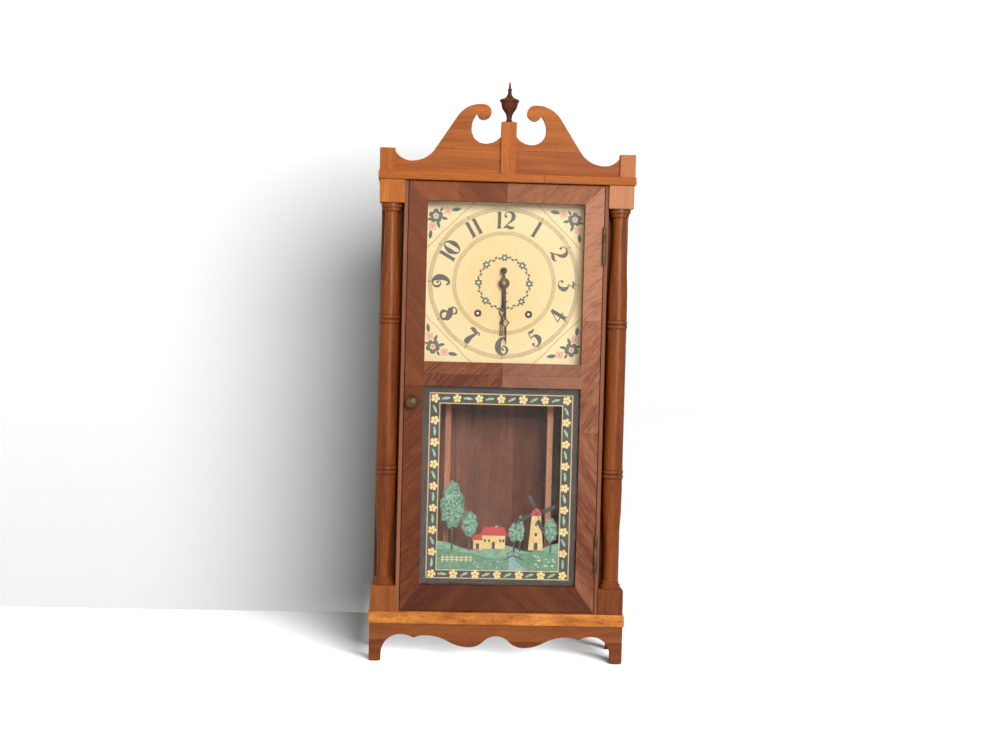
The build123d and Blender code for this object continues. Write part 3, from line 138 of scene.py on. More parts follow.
def woodMaterial(name, **changes):
    look = {**woodBase, **changes}
    material, tree, place = newMaterial(name)
    split = addNode(tree, "ShaderNodeSeparateXYZ", {"Vector": place})
    axes = {"x": split.outputs[0], "y": split.outputs[1], "z": split.outputs[2]}
    turn, tone, stroke = math.radians(look["turn"]), look["tone"], look["stroke"]
    for patch in look["patches"]:
        mask = patchMask(tree, axes, patch["where"])
        if "turn" in patch:
            turn = blendNumber(tree, mask, turn, math.radians(patch["turn"]))
        if "tone" in patch:
            tone = blendNumber(tree, mask, tone, patch["tone"])
        if "stroke" in patch:
            stroke = blendNumber(tree, mask, stroke, patch["stroke"])
    inputs = {"Vector": place, "Angle": turn}
    turned = addNode(tree, "ShaderNodeVectorRotate", inputs, rotation_type="Y_AXIS").outputs[0]
    grain = stretched(tree, turned, 16, look["shift"])
    short = stretched(tree, turned, 6, look["shift"])
    layers = [
        (noise(tree, grain, 24, 3), look["drift"]),
        (noise(tree, grain, 110, 4, 0.5), look["band"]),
        (noise(tree, grain, 760, 3), look["fibre"]),
    ]
    if look["mottle"]:
        layers.append((noise(tree, stretched(tree, turned, 2.2, look["shift"]), 75, 4), look["mottle"]))
    amount = tone
    for layer, gain in layers:
        amount = maths(tree, "ADD", amount, maths(tree, "MULTIPLY", maths(tree, "SUBTRACT", layer, 0.5), gain))
    if look["stroke"] or any("stroke" in patch for patch in look["patches"]):
        strokes = maths(tree, "SUBTRACT", noise(tree, short, 430, 3, 0.4), 0.5)
        amount = maths(tree, "ADD", amount, maths(tree, "MULTIPLY", strokes, stroke))
    ramp = addNode(tree, "ShaderNodeMix", {0: amount, 6: hexColour(look["dark"]), 7: hexColour(look["light"])},
                   data_type="RGBA", clamp_factor=True)
    pores = rescale(tree, noise(tree, short, 1500, 1), 0.60, 0.70, 0.0, look["pores"])
    colour = mixColour(tree, pores, ramp.outputs[2], hexColour(look["pore"]))
    # painted sheen: where a patch asks for it, a pale pink is laid over the grain, standing in for the light's
    # reflection on the side towards the lamp
    for patch in look["patches"]:
        if "paintedSheen" in patch:
            sheenColour, share = patch["paintedSheen"]
            mask = maths(tree, "MULTIPLY", patchMask(tree, axes, patch["where"]), share)
            colour = mixColour(tree, mask, colour, hexColour(sheenColour))
    # dark lines along glue joints and veneer seams; on the columns, painted shade in the ring grooves
    for axis, at, half in look["seams"]:
        away = maths(tree, "ABSOLUTE", maths(tree, "SUBTRACT", axes[axis], mm(at)))
        line = rescale(tree, away, mm(half), mm(half) * 1.6, 0.7, 0.0)
        colour = mixColour(tree, line, colour, hexColour(look["pore"]))
    rough = rescale(tree, layers[2][0], 0.3, 0.7, look["rough"] - 0.07, look["rough"] + 0.1)
    height = maths(tree, "SUBTRACT", layers[2][0], pores)
    bump = addNode(tree, "ShaderNodeBump", {"Height": height, "Strength": 0.35, "Distance": mm(0.12)})
    shader = addNode(tree, "ShaderNodeBsdfPrincipled", {
        "Base Color": colour, "Roughness": rough, "Normal": bump.outputs[0], "Specular IOR Level": 0.0,
        "Coat Weight": look["coat"], "Coat Roughness": rough, "Coat Normal": bump.outputs[0],
    })
    closeMaterial(tree, shader.outputs[0])
    return material


# ---------------------------------------------------------------- metals, glass and paint
def metalMaterial(name, bright, dull, rough, grit=900, wear=0.5, bumpDepth=0.05, rubbed=None):
    material, tree, place = newMaterial(name)
    cloud = noise(tree, place, 130, 4)
    fine = noise(tree, place, grit, 3)
    mix = rescale(tree, cloud, 0.5 - wear / 2, 0.5 + wear / 2)
    colour = mixColour(tree, mix, hexColour(dull), hexColour(bright))
    if rubbed:
        # a bright spot round an axis that points to the front, the same on both sides
        split = addNode(tree, "ShaderNodeSeparateXYZ", {"Vector": place})
        across = maths(tree, "SUBTRACT", maths(tree, "ABSOLUTE", split.outputs[0]), mm(rubbed["at"][0]))
        up = maths(tree, "SUBTRACT", split.outputs[2], mm(rubbed["at"][1]))
        away = maths(tree, "SQRT", maths(tree, "ADD", maths(tree, "POWER", across, 2.0), maths(tree, "POWER", up, 2.0)))
        spot = rescale(tree, away, mm(rubbed["radius"]), mm(rubbed["radius"] + 0.3), 1.0, 0.0)
        colour = mixColour(tree, spot, colour, hexColour(rubbed["colour"]))
    bump = addNode(tree, "ShaderNodeBump", {"Height": fine, "Strength": 0.4, "Distance": mm(bumpDepth)})
    shader = addNode(tree, "ShaderNodeBsdfPrincipled", {
        "Base Color": colour, "Metallic": 1.0, "Normal": bump.outputs[0],
        "Roughness": rescale(tree, fine, 0.3, 0.7, rough - 0.06, rough + 0.1),
    })
    closeMaterial(tree, shader.outputs[0])
    return material


def paintMaterial(name, light, dark, scale=160, rough=0.5, strokes=1.0, contrast=0.3):
    # oil paint laid with a small brush: strokes about 1 mm wide, a little thicker and paler on top
    material, tree, place = newMaterial(name)
    brush = addNode(tree, "ShaderNodeMapping", {"Vector": place, "Scale": (1, 1, strokes)}).outputs[0]
    marks = noise(tree, brush, scale, 4, 0.6)
    colour = mixColour(tree, rescale(tree, marks, 0.5 - contrast, 0.5 + contrast), hexColour(dark), hexColour(light))
    shader = addNode(tree, "ShaderNodeBsdfPrincipled", {"Base Color": colour, "Roughness": rough})
    closeMaterial(tree, shader.outputs[0])
    return material


def paneMaterial(name, tint="#f6f8f4"):
    # drawn sheet glass, polished: clear, with a faint green in its thickness. Lamps reach through it.
    material, tree, place = newMaterial(name)
    wave = addNode(tree, "ShaderNodeBump", {"Height": noise(tree, place, 14, 1), "Strength": 0.1, "Distance": mm(0.5)})
    glass = addNode(tree, "ShaderNodeBsdfPrincipled", {
        "Base Color": hexColour(tint), "Roughness": 0.01, "IOR": 1.3, "Transmission Weight": 1.0,
        "Normal": wave.outputs[0],
    })
    clear = addNode(tree, "ShaderNodeBsdfTransparent")
    path = addNode(tree, "ShaderNodeLightPath")
    mixed = addNode(tree, "ShaderNodeMixShader", {
        0: path.outputs["Is Shadow Ray"], 1: glass.outputs[0], 2: clear.outputs[0],
    })
    closeMaterial(tree, mixed.outputs[0])
    return material


dialLook = {
    "centre": (0.0, 474.5), "cream": "#fde3b0", "middleCream": "#f4ca88", "ring": "#b0905a", "ringDark": "#927748",
    "outerRing": (92.6, 2.4), "innerRing": (62.7, 2.3), "cornerLine": (99.0, 0.8),
}


def dialPaintMaterial(name):
    # flat oil paint on a wooden board, yellowed by its varnish, with rings brushed in thin brown glaze
    look = dialLook
    material, tree, place = newMaterial(name)
    split = addNode(tree, "ShaderNodeSeparateXYZ", {"Vector": place})
    across = maths(tree, "SUBTRACT", split.outputs[0], mm(look["centre"][0]))
    up = maths(tree, "SUBTRACT", split.outputs[2], mm(look["centre"][1]))
    reach = maths(tree, "SQRT", maths(tree, "ADD", maths(tree, "POWER", across, 2.0), maths(tree, "POWER", up, 2.0)))
    wobble = maths(tree, "MULTIPLY", maths(tree, "SUBTRACT", noise(tree, place, 45, 3), 0.5), mm(2.4))
    reach = maths(tree, "ADD", reach, wobble)
    glaze = noise(tree, place, 260, 4)
    # painted light: paler towards the rim and deeper yellow in the middle, which lifts the shade that the door frame
    # casts round the dial's edge
    rimLightMix = maths(tree, "ADD", rescale(tree, reach, mm(45), mm(105), 0.9, 0.2), maths(tree, "SUBTRACT", noise(tree, place, 11, 3), 0.5))
    colour = mixColour(tree, maths(tree, "MINIMUM", rimLightMix, 1.0), hexColour(look["cream"]), hexColour(look["middleCream"]))
    speck = rescale(tree, noise(tree, place, 420, 2), 0.66, 0.74, 0.0, 0.35)
    colour = mixColour(tree, speck, colour, hexColour(look["ring"]))
    # the corner lines run straight across each corner, so they follow |x| + |z|
    slant = maths(tree, "ADD", maths(tree, "ABSOLUTE", across), maths(tree, "ABSOLUTE", up))
    slant = maths(tree, "ADD", maths(tree, "MULTIPLY", slant, math.sqrt(0.5)), maths(tree, "MULTIPLY", wobble, 2.0))
    for key, strength in (("outerRing", 0.68), ("innerRing", 0.68), ("cornerLine", 0.7)):
        middle, half = look[key]
        away = maths(tree, "SUBTRACT", slant if key == "cornerLine" else reach, mm(middle))
        away = maths(tree, "ABSOLUTE", away)
        body = rescale(tree, away, mm(half) - mm(0.3), mm(half) + mm(0.4), strength, 0.0)
        body = maths(tree, "MULTIPLY", body, rescale(tree, glaze, 0.3, 0.75, 1.0, 0.55))
        colour = mixColour(tree, body, colour, hexColour(look["ring"]))
        if half > 1:
            rim = maths(tree, "ABSOLUTE", maths(tree, "SUBTRACT", away, mm(half) - mm(0.35)))
            rim = rescale(tree, rim, mm(0.2), mm(0.6), 0.42, 0.0)
            colour = mixColour(tree, rim, colour, hexColour(look["ringDark"]))
    bump = addNode(tree, "ShaderNodeBump", {"Height": glaze, "Strength": 0.12, "Distance": mm(0.1)})
    shader = addNode(tree, "ShaderNodeBsdfPrincipled", {
        "Base Color": colour, "Roughness": 0.46, "Normal": bump.outputs[0],
    })
    closeMaterial(tree, shader.outputs[0])
    return material


def washMaterial(name):
    # thin black wash rubbed to the pane's edge: dark but see-through, worn in patches
    material, tree, place = newMaterial(name)
    worn = rescale(tree, noise(tree, place, 55, 5, 0.3), 0.3, 0.7, 0.8, 0.5)
    shader = addNode(tree, "ShaderNodeBsdfPrincipled", {
        "Base Color": hexColour("#33231a"), "Roughness": 0.6, "Alpha": worn,
    })
    closeMaterial(tree, shader.outputs[0])
    return material


finishes = {
    # the crest and its boards: honey coloured stain
    # the right half is painted lighter, as light falling from the right; below the glue joint on the right lies a
    # darker board
    "crest": woodMaterial("stained_mahogany_crest", dark="#8d3c09", light="#cb7121", band=1.7, drift=1.4, shift=(0.3, 0.1, 0.7),
                          patches=[{"where": [("x", ">", 0)], "tone": 0.66}, {"where": [("z", "<", 638.5), ("x", ">", 0)], "tone": 0.3}],
                          seams=[("z", 638.5, 0.25)]),
    "topBoard": woodMaterial("stained_mahogany_top", dark="#a04c0f", light="#d37724", shift=(1.3, 0.4, 0.2),
                             seams=[("x", 45.5, 0.3)]),
    # the right-hand cap block carries painted sheen, for the light from the right
    "capBlocks": woodMaterial("stained_mahogany_blocks", dark="#b25918", light="#e48a35", turn=90, shift=(2.1, 0.4, 0.9),
                              patches=[{"where": [("x", ">", 0)], "paintedSheen": ("#e1b299", 0.3)}]),
    # the right side plinth is painted lighter and carries painted sheen, for the light from the right
    "plinthPins": woodMaterial("stained_mahogany_plinths", dark="#a14e0d", light="#d27424", turn=90, shift=(4.1, 1.4, 0.9),
                               patches=[{"where": [("x", ">", 60)], "tone": 0.9, "paintedSheen": ("#e1b299", 0.13)}]),
    "baseBoard": woodMaterial("stained_mahogany_base", dark="#a8511b", light="#ffa44c", mottle=1.9, band=1.0, drift=0.5, tone=0.55, shift=(3.3, 2.4, 0.1),
                              pores=0.6, patches=[{"where": [("x", ">", 20)], "tone": 0.72}]),
    "apron": woodMaterial("red_mahogany_apron", dark="#7d3d1a", light="#b56935", shift=(0.9, 0.8, 1.6),
                          patches=[{"where": [("x", ">", 0)], "tone": 0.68}, {"where": [("z", "<", 27)], "tone": 0.02}]),
    "plinthBlocks": woodMaterial("red_mahogany_blocks", patches=[{"where": [("x", "<", 0)], "tone": 0.8}, {"where": [("x", ">", 0)], "tone": 0.25}],
                                 dark="#7e3e16", light="#b66730", turn=90, shift=(5.1, 0.8, 1.6)),
    # the dark lines at the ring grooves are painted shade
    "columns": woodMaterial("turned_mahogany", seams=[("z", at, 0.5) for at in (232.3, 238.0, 243.7, 420.3, 426.0, 431.7)],
                            pores=0.7, dark="#6c2e0c", light="#af5d1f", turn=90, band=1.5, fibre=1.1, rough=0.34,
                            coat=0.4, shift=(6.1, 0.2, 2.6)),
    "panels": woodMaterial("red_mahogany_panels", dark="#6d351b", light="#a3603b", turn=90, shift=(7.1, 0.2, 2.6)),
    "jambs": woodMaterial("red_mahogany_jambs", dark="#743b20", light="#ae6d4b", turn=90, shift=(8.1, 0.2, 2.6)),
    "finial": woodMaterial("dark_turned_mahogany", dark="#38180c", light="#773f21", turn=90, band=1.0, shift=(8.7, 0.2, 2.6)),
    # inside: plain board, oiled, never polished
    "inner": woodMaterial("plain_inner_board", dark="#6e4a3c", light="#9a7058", turn=90, coat=0.0, rough=0.62, shift=(2.7, 3.2, 2.6)),
    "backPanel": woodMaterial("plain_back_board", patches=[{"where": [("x", ">", 22)], "tone": 0.12}], seams=[("x", 22, 0.2)],
                              dark="#6d3e2f", light="#9c634d", turn=90, coat=0.0, rough=0.62, mottle=0.8,
                              shift=(0.7, 3.2, 2.6)),
    # the left post is painted darker than the right one, as shade
    "posts": woodMaterial("plain_post", tone=0.15, patches=[{"where": [("x", ">", 0)], "tone": 0.95}],
                          dark="#bb7553", light="#eba47d", turn=90, coat=0.0, rough=0.6, shift=(1.7, 3.2, 2.6)),
    # the door: ribbon veneer laid at a slant, so each half has its own direction, tone and ripple; the right halves of
    # the top and middle rails and the upper right stile carry painted sheen, for the light from the right
    "railTop": woodMaterial("ribbon_veneer_top", dark="#713212", light="#b6662e", pore="#57291a", turn=-42, tone=0.5, stroke=0.5,
                            band=0.8, shift=(0.2, 0.2, 5.0),
                            patches=[{"where": [("x", ">", -60)], "tone": 0.2},
                                     {"where": [("x", ">", 0)], "turn": 48, "tone": 0.66, "stroke": 2.1, "paintedSheen": ("#e1b299", 0.1)}],
                            seams=[("x", 0, 0.15)]),
    "railMiddle": woodMaterial("ribbon_veneer_middle", dark="#67301a", light="#a8653f", pore="#552718", turn=42, tone=0.55,
                               stroke=1.6, band=0.8, shift=(0.9, 0.2, 5.0),
                               patches=[{"where": [("z", "<", 359.5)], "turn": 50, "tone": 0.25, "stroke": 1.5},
                                        {"where": [("z", "<", 359.5), ("x", ">", 0)], "turn": -44, "tone": 0.7, "stroke": 0.7},
                                        {"where": [("x", ">", 0)], "paintedSheen": ("#e1b299", 0.16)}],
                               seams=[("z", 359.5, 0.15)]),
    "railBottom": woodMaterial("ribbon_veneer_bottom", dark="#502110", light="#844827", pore="#43200f", turn=46, tone=0.34,
                               stroke=0.6, band=0.8, shift=(1.9, 0.2, 5.0),
                               patches=[{"where": [("x", ">", 2)], "turn": -44, "tone": 0.55, "stroke": 0.9}],
                               seams=[("x", 2, 0.15)]),
    "stileLeft": woodMaterial("ribbon_veneer_left", dark="#5d280f", light="#914d27", pore="#552718", turn=-52, tone=0.5, stroke=0.5,
                              band=0.8, shift=(2.9, 0.2, 5.0),
                              patches=[{"where": [("z", "<", 345)], "turn": 46, "tone": 0.38, "stroke": 1.3}]),
    "stileRight": woodMaterial("ribbon_veneer_right", dark="#773c25", light="#c9835c", pore="#5b2d1c", turn=34, tone=0.92, stroke=2.2,
                               band=1.2, shift=(3.9, 0.2, 5.0),
                               patches=[{"where": [("z", ">", 430)], "paintedSheen": ("#e1b299", 0.1)}, {"where": [("z", "<", 430)], "turn": 56, "tone": 0.45, "stroke": 1.4},
                                        {"where": [("z", "<", 290)], "turn": -60, "tone": 0.32, "stroke": 1.0}]),
    "beads": woodMaterial("stained_bead", dark="#5f3120", light="#8d5338", turn=90, shift=(3.9, 1.2, 5.0)),
    "dial": dialPaintMaterial("dial_paint"),
    "pane": paneMaterial("sheet_glass"),
    # cast and turned brass left to tarnish: brown-grey, soft highlights
    "agedBrass": metalMaterial("tarnished_brass", "#6d563f", "#3e3025", 0.42, 500, 0.4, 0.08),
    # rolled brass, lacquered: bright and faintly grained
    "clockBrass": metalMaterial("rolled_brass", "#c9a15a", "#a98243", 0.3, 1500),
    "steel": metalMaterial("drawn_steel", "#8d8f92", "#6c6d70", 0.32, 1400),
    # hands stamped from steel and blacked
    "blackSteel": metalMaterial("blacked_steel", "#453b34", "#2b2420", 0.5, 1200),
    # oiled arbors: dark, rubbed bright where the key turns on their ends
    "arbor": metalMaterial("oiled_arbor_steel", "#3f3630", "#2c2622", 0.45, 1400,
                           rubbed={"at": (32.0, 436.0), "radius": 1.1, "colour": "#f3ead8"}),
    # the tarnished brass painted a little darker on the grommets, as shade
    "grommet": metalMaterial("grommet_brass_painted_shade", "#6b5540", "#3a2c20", 0.45, 500, 0.4, 0.08),
    "castIron": metalMaterial("cast_iron", "#3a3836", "#262423", 0.6, 700, 0.5, 0.25),
}
wearing = {
    "crest": ["crest_board"], "topBoard": ["top_board"], "capBlocks": ["cap_blocks"],
    "plinthPins": ["side_plinths", "centre_plinth"], "baseBoard": ["base_board"],
    "apron": ["front_apron", "side_aprons"], "plinthBlocks": ["plinth_blocks"],
    "columns": ["column_left", "column_right"], "panels": ["side_panel_left", "side_panel_right", "niche_backs"],
    "jambs": ["door_jamb_left", "door_jamb_right"], "finial": ["finial"],
    "inner": ["seat_board", "inner_cleats"], "backPanel": ["back_panel"], "posts": ["movement_posts"],
    "railTop": ["door_rail_top"], "railMiddle": ["door_rail_middle"], "railBottom": ["door_rail_bottom"],
    "stileLeft": ["door_stile_left"], "stileRight": ["door_stile_right"], "beads": ["glass_beads"],
    "dial": ["dial_plate"], "pane": ["upper_glass", "lower_glass"],
    "agedBrass": ["door_knob", "stile_pin", "jamb_hinge_leaves", "door_hinge_leaves", "hinge_pins", "hand_nut"],
    "grommet": ["winding_grommets"], "arbor": ["time_winding_arbor", "strike_winding_arbor"],
    "clockBrass": ["movement_front_plate", "movement_back_plate", "time_barrel", "strike_barrel", "minute_wheel",
                   "hour_wheel", "pendulum_cock", "pendulum_bob", "rating_nut"],
    "steel": ["plate_pillars", "seat_bolts", "centre_arbor",
              "anchor_and_crutch", "pendulum_rod", "strike_hammer", "gong_coil", "latch_tongue"],
    "blackSteel": ["hour_hand", "minute_hand"], "castIron": ["gong_block"],
}
for finish, names in wearing.items():
    for name in names:
        slots = nodes[name].material_slots
        if not slots:
            nodes[name].data.materials.append(finishes[finish])
        for slot in slots:
            slot.material = finishes[finish]
print("woods, metals and glass on", sum(len(names) for names in wearing.values()), "nodes")


# ---------------------------------------------------------------- flat painted shapes
def slab(points, front, thick):
    # a closed thin plate from an outline in x and z (mm, anticlockwise from the front)
    count = len(points)
    vertices = [(mm(x), mm(front), mm(z)) for x, z in points]
    vertices += [(mm(x), mm(front + thick), mm(z)) for x, z in points]
    faces = [tuple(range(count)), tuple(range(2 * count - 1, count - 1, -1))]
    for i in range(count):
        j = (i + 1) % count
        faces.append((j, i, count + i, count + j))
    return vertices, faces


def paintedPiece(name, body, layers, front, thick=0.03, step=0.035, towards=-1):
    # layers: (material, list of outlines). Each later layer lies one step nearer the eye
    vertices, faces, marks = [], [], []
    materials = []
    for depth, (material, outlines) in enumerate(layers):
        if material not in materials:
            materials.append(material)
        for order, outline in enumerate(outlines):
            lift = front + towards * (depth + 0.3 * order / max(1, len(outlines))) * step
            more, sides = slab(outline, lift, thick)
            start = len(vertices)
            vertices += more
            faces += [tuple(start + i for i in face) for face in sides]
            marks += [materials.index(material)] * len(sides)
    mesh = bpy.data.meshes.new(name)
    mesh.from_pydata(vertices, [], faces)
    for material in materials:
        mesh.materials.append(material)
    mesh.polygons.foreach_set("material_index", marks)
    piece = bpy.data.objects.new(name, mesh)
    bpy.context.scene.collection.objects.link(piece)
    if body:
        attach(piece, body)
    return piece


def moved(points, x, z, turn=0.0, size=1.0):
    c, s = math.cos(math.radians(turn)), math.sin(math.radians(turn))
    return [(x + size * (px * c - pz * s), z + size * (px * s + pz * c)) for px, pz in points]


def disc(x, z, radius, tall=None, sides=16):
    tall = tall or radius
    return [(x + radius * math.cos(2 * math.pi * i / sides), z + tall * math.sin(2 * math.pi * i / sides))
            for i in range(sides)]


def leaf(length, width, sides=7):
    # pointed at both ends, lying along x
    upper = [(length * (i / sides - 0.5), width / 2 * math.sin(math.pi * i / sides) ** 0.8) for i in range(sides + 1)]
    lower = [(x, -z) for x, z in upper[1:-1]]
    return lower + upper[::-1]


def brushed(knots, closed=False, steps=9):
    # a stroke whose width changes along a smooth line: knots are (x, z, width)
    count = len(knots)
    spans = count if closed else count - 1
    line = []
    for k in range(spans):
        at = [knots[(k + d) % count] if closed else knots[min(max(k + d, 0), count - 1)] for d in (-1, 0, 1, 2)]
        for i in range(steps + (k == spans - 1 and not closed)):
            t = i / steps
            line.append(tuple(
                0.5 * (2 * b + (c - a) * t + (2 * a - 5 * b + 4 * c - d) * t * t + (3 * b - a - 3 * c + d) * t ** 3)
                for a, b, c, d in zip(*at)))
    left, right = [], []
    for k, (x, z, width) in enumerate(line):
        before, after = (line[k - 1], line[(k + 1) % len(line)]) if closed else (
            line[max(k - 1, 0)], line[min(k + 1, len(line) - 1)])
        dx, dz = after[0] - before[0], after[1] - before[1]
        long = math.hypot(dx, dz) or 1
        half = max(width, 0.012) / 2
        left.append((x - dz / long * half, z + dx / long * half))
        right.append((x + dz / long * half, z - dx / long * half))
    # short plates along the line keep every outline simple
    last = len(line) if closed else len(line) - 1
    return [[right[k], right[(k + 1) % len(line)], left[(k + 1) % len(line)], left[k]] for k in range(last)]


def straight(*knots):
    # bars with sharp ends
    made = []
    for (x1, z1, w1), (x2, z2, w2) in zip(knots, knots[1:]):
        long = math.hypot(x2 - x1, z2 - z1)
        nx, nz = (z2 - z1) / long / 2, -(x2 - x1) / long / 2
        made.append([(x1 + nx * w1, z1 + nz * w1), (x2 + nx * w2, z2 + nz * w2),
                     (x2 - nx * w2, z2 - nz * w2), (x1 - nx * w1, z1 - nz * w1)])
    return made


# ---------------------------------------------------------------- dial
numeralLook = {"height": 21.5, "radius": 79.0, "front": -20.03, "fat": {"0": 1.35, "1": 1.0, "2": 1.25, "3": 1.25, "4": 1.15, "5": 1.4, "6": 1.7, "7": 1.75, "8": 1.75, "9": 1.65}}
six = brushed([(.17, .9, .05), (.05, .97, .07), (-.12, .86, .13), (-.25, .58, .2), (-.24, .28, .2), (-.1, .05, .11),
               (.1, .01, .05), (.26, .13, .07), (.27, .33, .09), (.14, .47, .05), (-.01, .44, .03), (-.05, .33, .03)])
six += [disc(.15, .86, .07), disc(.03, .29, .075)]
digits = {
    "0": brushed([(.25, .5, .21), (.17, .86, .1), (0, .98, .04), (-.17, .86, .1), (-.25, .5, .21), (-.17, .14, .1),
                  (0, .02, .04), (.17, .14, .1)], closed=True),
    "1": straight((0, .02, .2), (0, .98, .2)) + straight((-.16, .025, .05), (.12, .025, .05))
         + straight((-.16, .9, .02), (-.06, .975, .06)),
    "2": brushed([(-.27, .74, .03), (-.2, .9, .045), (0, .985, .06), (.2, .9, .14), (.27, .72, .2), (.2, .53, .15),
                  (0, .34, .07), (-.2, .16, .045), (-.3, .03, .04)])
         + brushed([(-.29, .05, .05), (-.12, .13, .12), (.06, .07, .16), (.22, .05, .1), (.31, .17, .03)])
         + [disc(-.19, .72, .08)],
    "3": brushed([(-.22, .84, .02), (-.08, .93, .12), (.08, .89, .1), (.24, .98, .03)])
         + straight((.235, .985, .03), (-.02, .62, .045))
         + brushed([(-.03, .6, .04), (.15, .57, .1), (.27, .36, .21), (.16, .1, .13), (-.04, .02, .05), (-.2, .09, .04),
                    (-.25, .22, .05)]) + [disc(-.18, .24, .08)],
    "4": straight((.1, .02, .19), (.1, .98, .19)) + straight((.06, .97, .045), (-.3, .3, .05))
         + straight((-.31, .31, .06), (.3, .31, .06)) + straight((.29, .24, .03), (.29, .41, .03))
         + straight((-.06, .02, .045), (.28, .02, .045)),
    "5": straight((-.13, .95, .05), (-.17, .55, .04)) + brushed([(-.14, .95, .05), (0, .9, .12), (.13, .92, .1), (.27, 1., .02)])
         + brushed([(-.17, .56, .04), (0, .63, .06), (.17, .57, .15), (.26, .34, .2), (.15, .1, .12), (-.05, .02, .05),
                    (-.2, .09, .04), (-.25, .2, .05)]) + [disc(-.18, .22, .075)],
    "6": six,
    "7": brushed([(-.28, .86, .03), (-.2, .96, .1), (-.04, .92, .14), (.14, .87, .09), (.3, .94, .03), (.36, .84, .03)])
         + brushed([(.2, .88, .05), (.04, .58, .11), (-.07, .3, .18), (-.1, .06, .2)]) + [disc(-.1, .09, .1), disc(.32, .82, .05)],
    "8": brushed([(-.2, .8, .1), (-.1, .66, .19), (.08, .5, .21), (.2, .3, .17), (.19, .15, .1)])
         + brushed([(-.2, .8, .08), (-.14, .94, .05), (.03, .99, .05), (.18, .9, .07), (.18, .74, .05), (.05, .58, .04),
                    (-.12, .45, .05), (-.27, .28, .11), (-.2, .08, .08), (0, .01, .06), (.13, .05, .08), (.2, .17, .1)]),
    "9": [[(-x, 1 - z) for x, z in outline] for outline in six],
}
paints = {
    "numeral": paintMaterial("numeral_black_oil", "#5a4d42", "#352a24", 240, 0.5, 2.5),
    "tick": paintMaterial("tick_brown_oil", "#7a6752", "#54443a", 300),
    "tickRed": paintMaterial("tick_red_oil", "#a0563c", "#7c3a2b", 300),
    "green": paintMaterial("flower_green_oil", "#5d6b52", "#364232", 420),
    "vine": paintMaterial("vine_brown_oil", "#5f5944", "#39372a", 420),
    "white": paintMaterial("flower_white_oil", "#fbf3e0", "#eadfc2", 420),
    "pink": paintMaterial("blossom_pink_oil", "#f6c6a8", "#eaac8d", 420),
    "red": paintMaterial("heart_red_oil", "#a8483c", "#863328", 420),
    "black": paintMaterial("border_black_oil", "#1f1712", "#140f0c", 300),
    "gold": paintMaterial("border_gold_size", "#e6c58a", "#c79d60", 500),
    "petal": paintMaterial("border_cream_oil", "#ffe3a4", "#f0c679", 700),
    "petalHeart": paintMaterial("border_ochre_oil", "#a5793c", "#7d5826", 700),
    "paleLeaf": paintMaterial("border_leaf_oil", "#b9d0b0", "#6f977b", 800, contrast=0.16),
    "meadow": paintMaterial("meadow_green_oil", "#6f9a7b", "#3f6d55", 170, strokes=2.0, contrast=0.2),
    "hill": paintMaterial("hill_green_oil", "#8fae8d", "#5d8a6e", 150, strokes=2.0, contrast=0.2),
    "crown": paintMaterial("tree_green_oil", "#739c82", "#2c5743", 260, contrast=0.16),
    "trunk": paintMaterial("trunk_brown_oil", "#3b2f28", "#251c18", 300),
    "wall": paintMaterial("cottage_cream_oil", "#f0d08c", "#dcb26e", 240, contrast=0.22),
    "roof": paintMaterial("roof_red_oil", "#cf2f2c", "#ad1c22", 300),
    "window": paintMaterial("window_black_oil", "#2b2423", "#191413", 300),
    "water": paintMaterial("stream_blue_oil", "#9fb4b4", "#6f8d95", 240, strokes=3.0, contrast=0.2),
    "wash": washMaterial("edge_black_wash"),
}


def fattened(outline, share):
    # spreads a plate of a stroke across its middle line
    if len(outline) != 4:
        return outline
    made = list(outline)
    for a, b in ((0, 3), (1, 2)):
        ax, az = outline[a]
        bx, bz = outline[b]
        mx, mz = (ax + bx) / 2, (az + bz) / 2
        made[a] = (mx + (ax - mx) * share, mz + (az - mz) * share)
        made[b] = (mx + (bx - mx) * share, mz + (bz - mz) * share)
    return made


def numeralOutlines(text):
    starts = {1: [0.0], 2: [-0.36, 0.2]}[len(text)]
    if text == "11":
        starts = [-0.22, 0.22]
    fat = numeralLook["fat"]
    return [[(x + start, z - 0.5) for x, z in fattened(outline, fat[digit])]
            for start, digit in zip(starts, text) for outline in digits[digit]]


outlines = []
for hour in range(1, 13):
    ahead = math.radians(30 * hour)
    x = dialLook["centre"][0] + numeralLook["radius"] * math.sin(ahead)
    z = dialLook["centre"][1] + numeralLook["radius"] * math.cos(ahead)
    turn = -30 * hour + (180 if 4 <= hour <= 8 else 0)      # the lower figures stand with their feet outward
    for outline in numeralOutlines(str(hour)):
        outlines.append(moved(outline, x, z, turn, numeralLook["height"]))
paintedPiece("dial_numerals", "case", [(paints["numeral"], outlines)], numeralLook["front"])

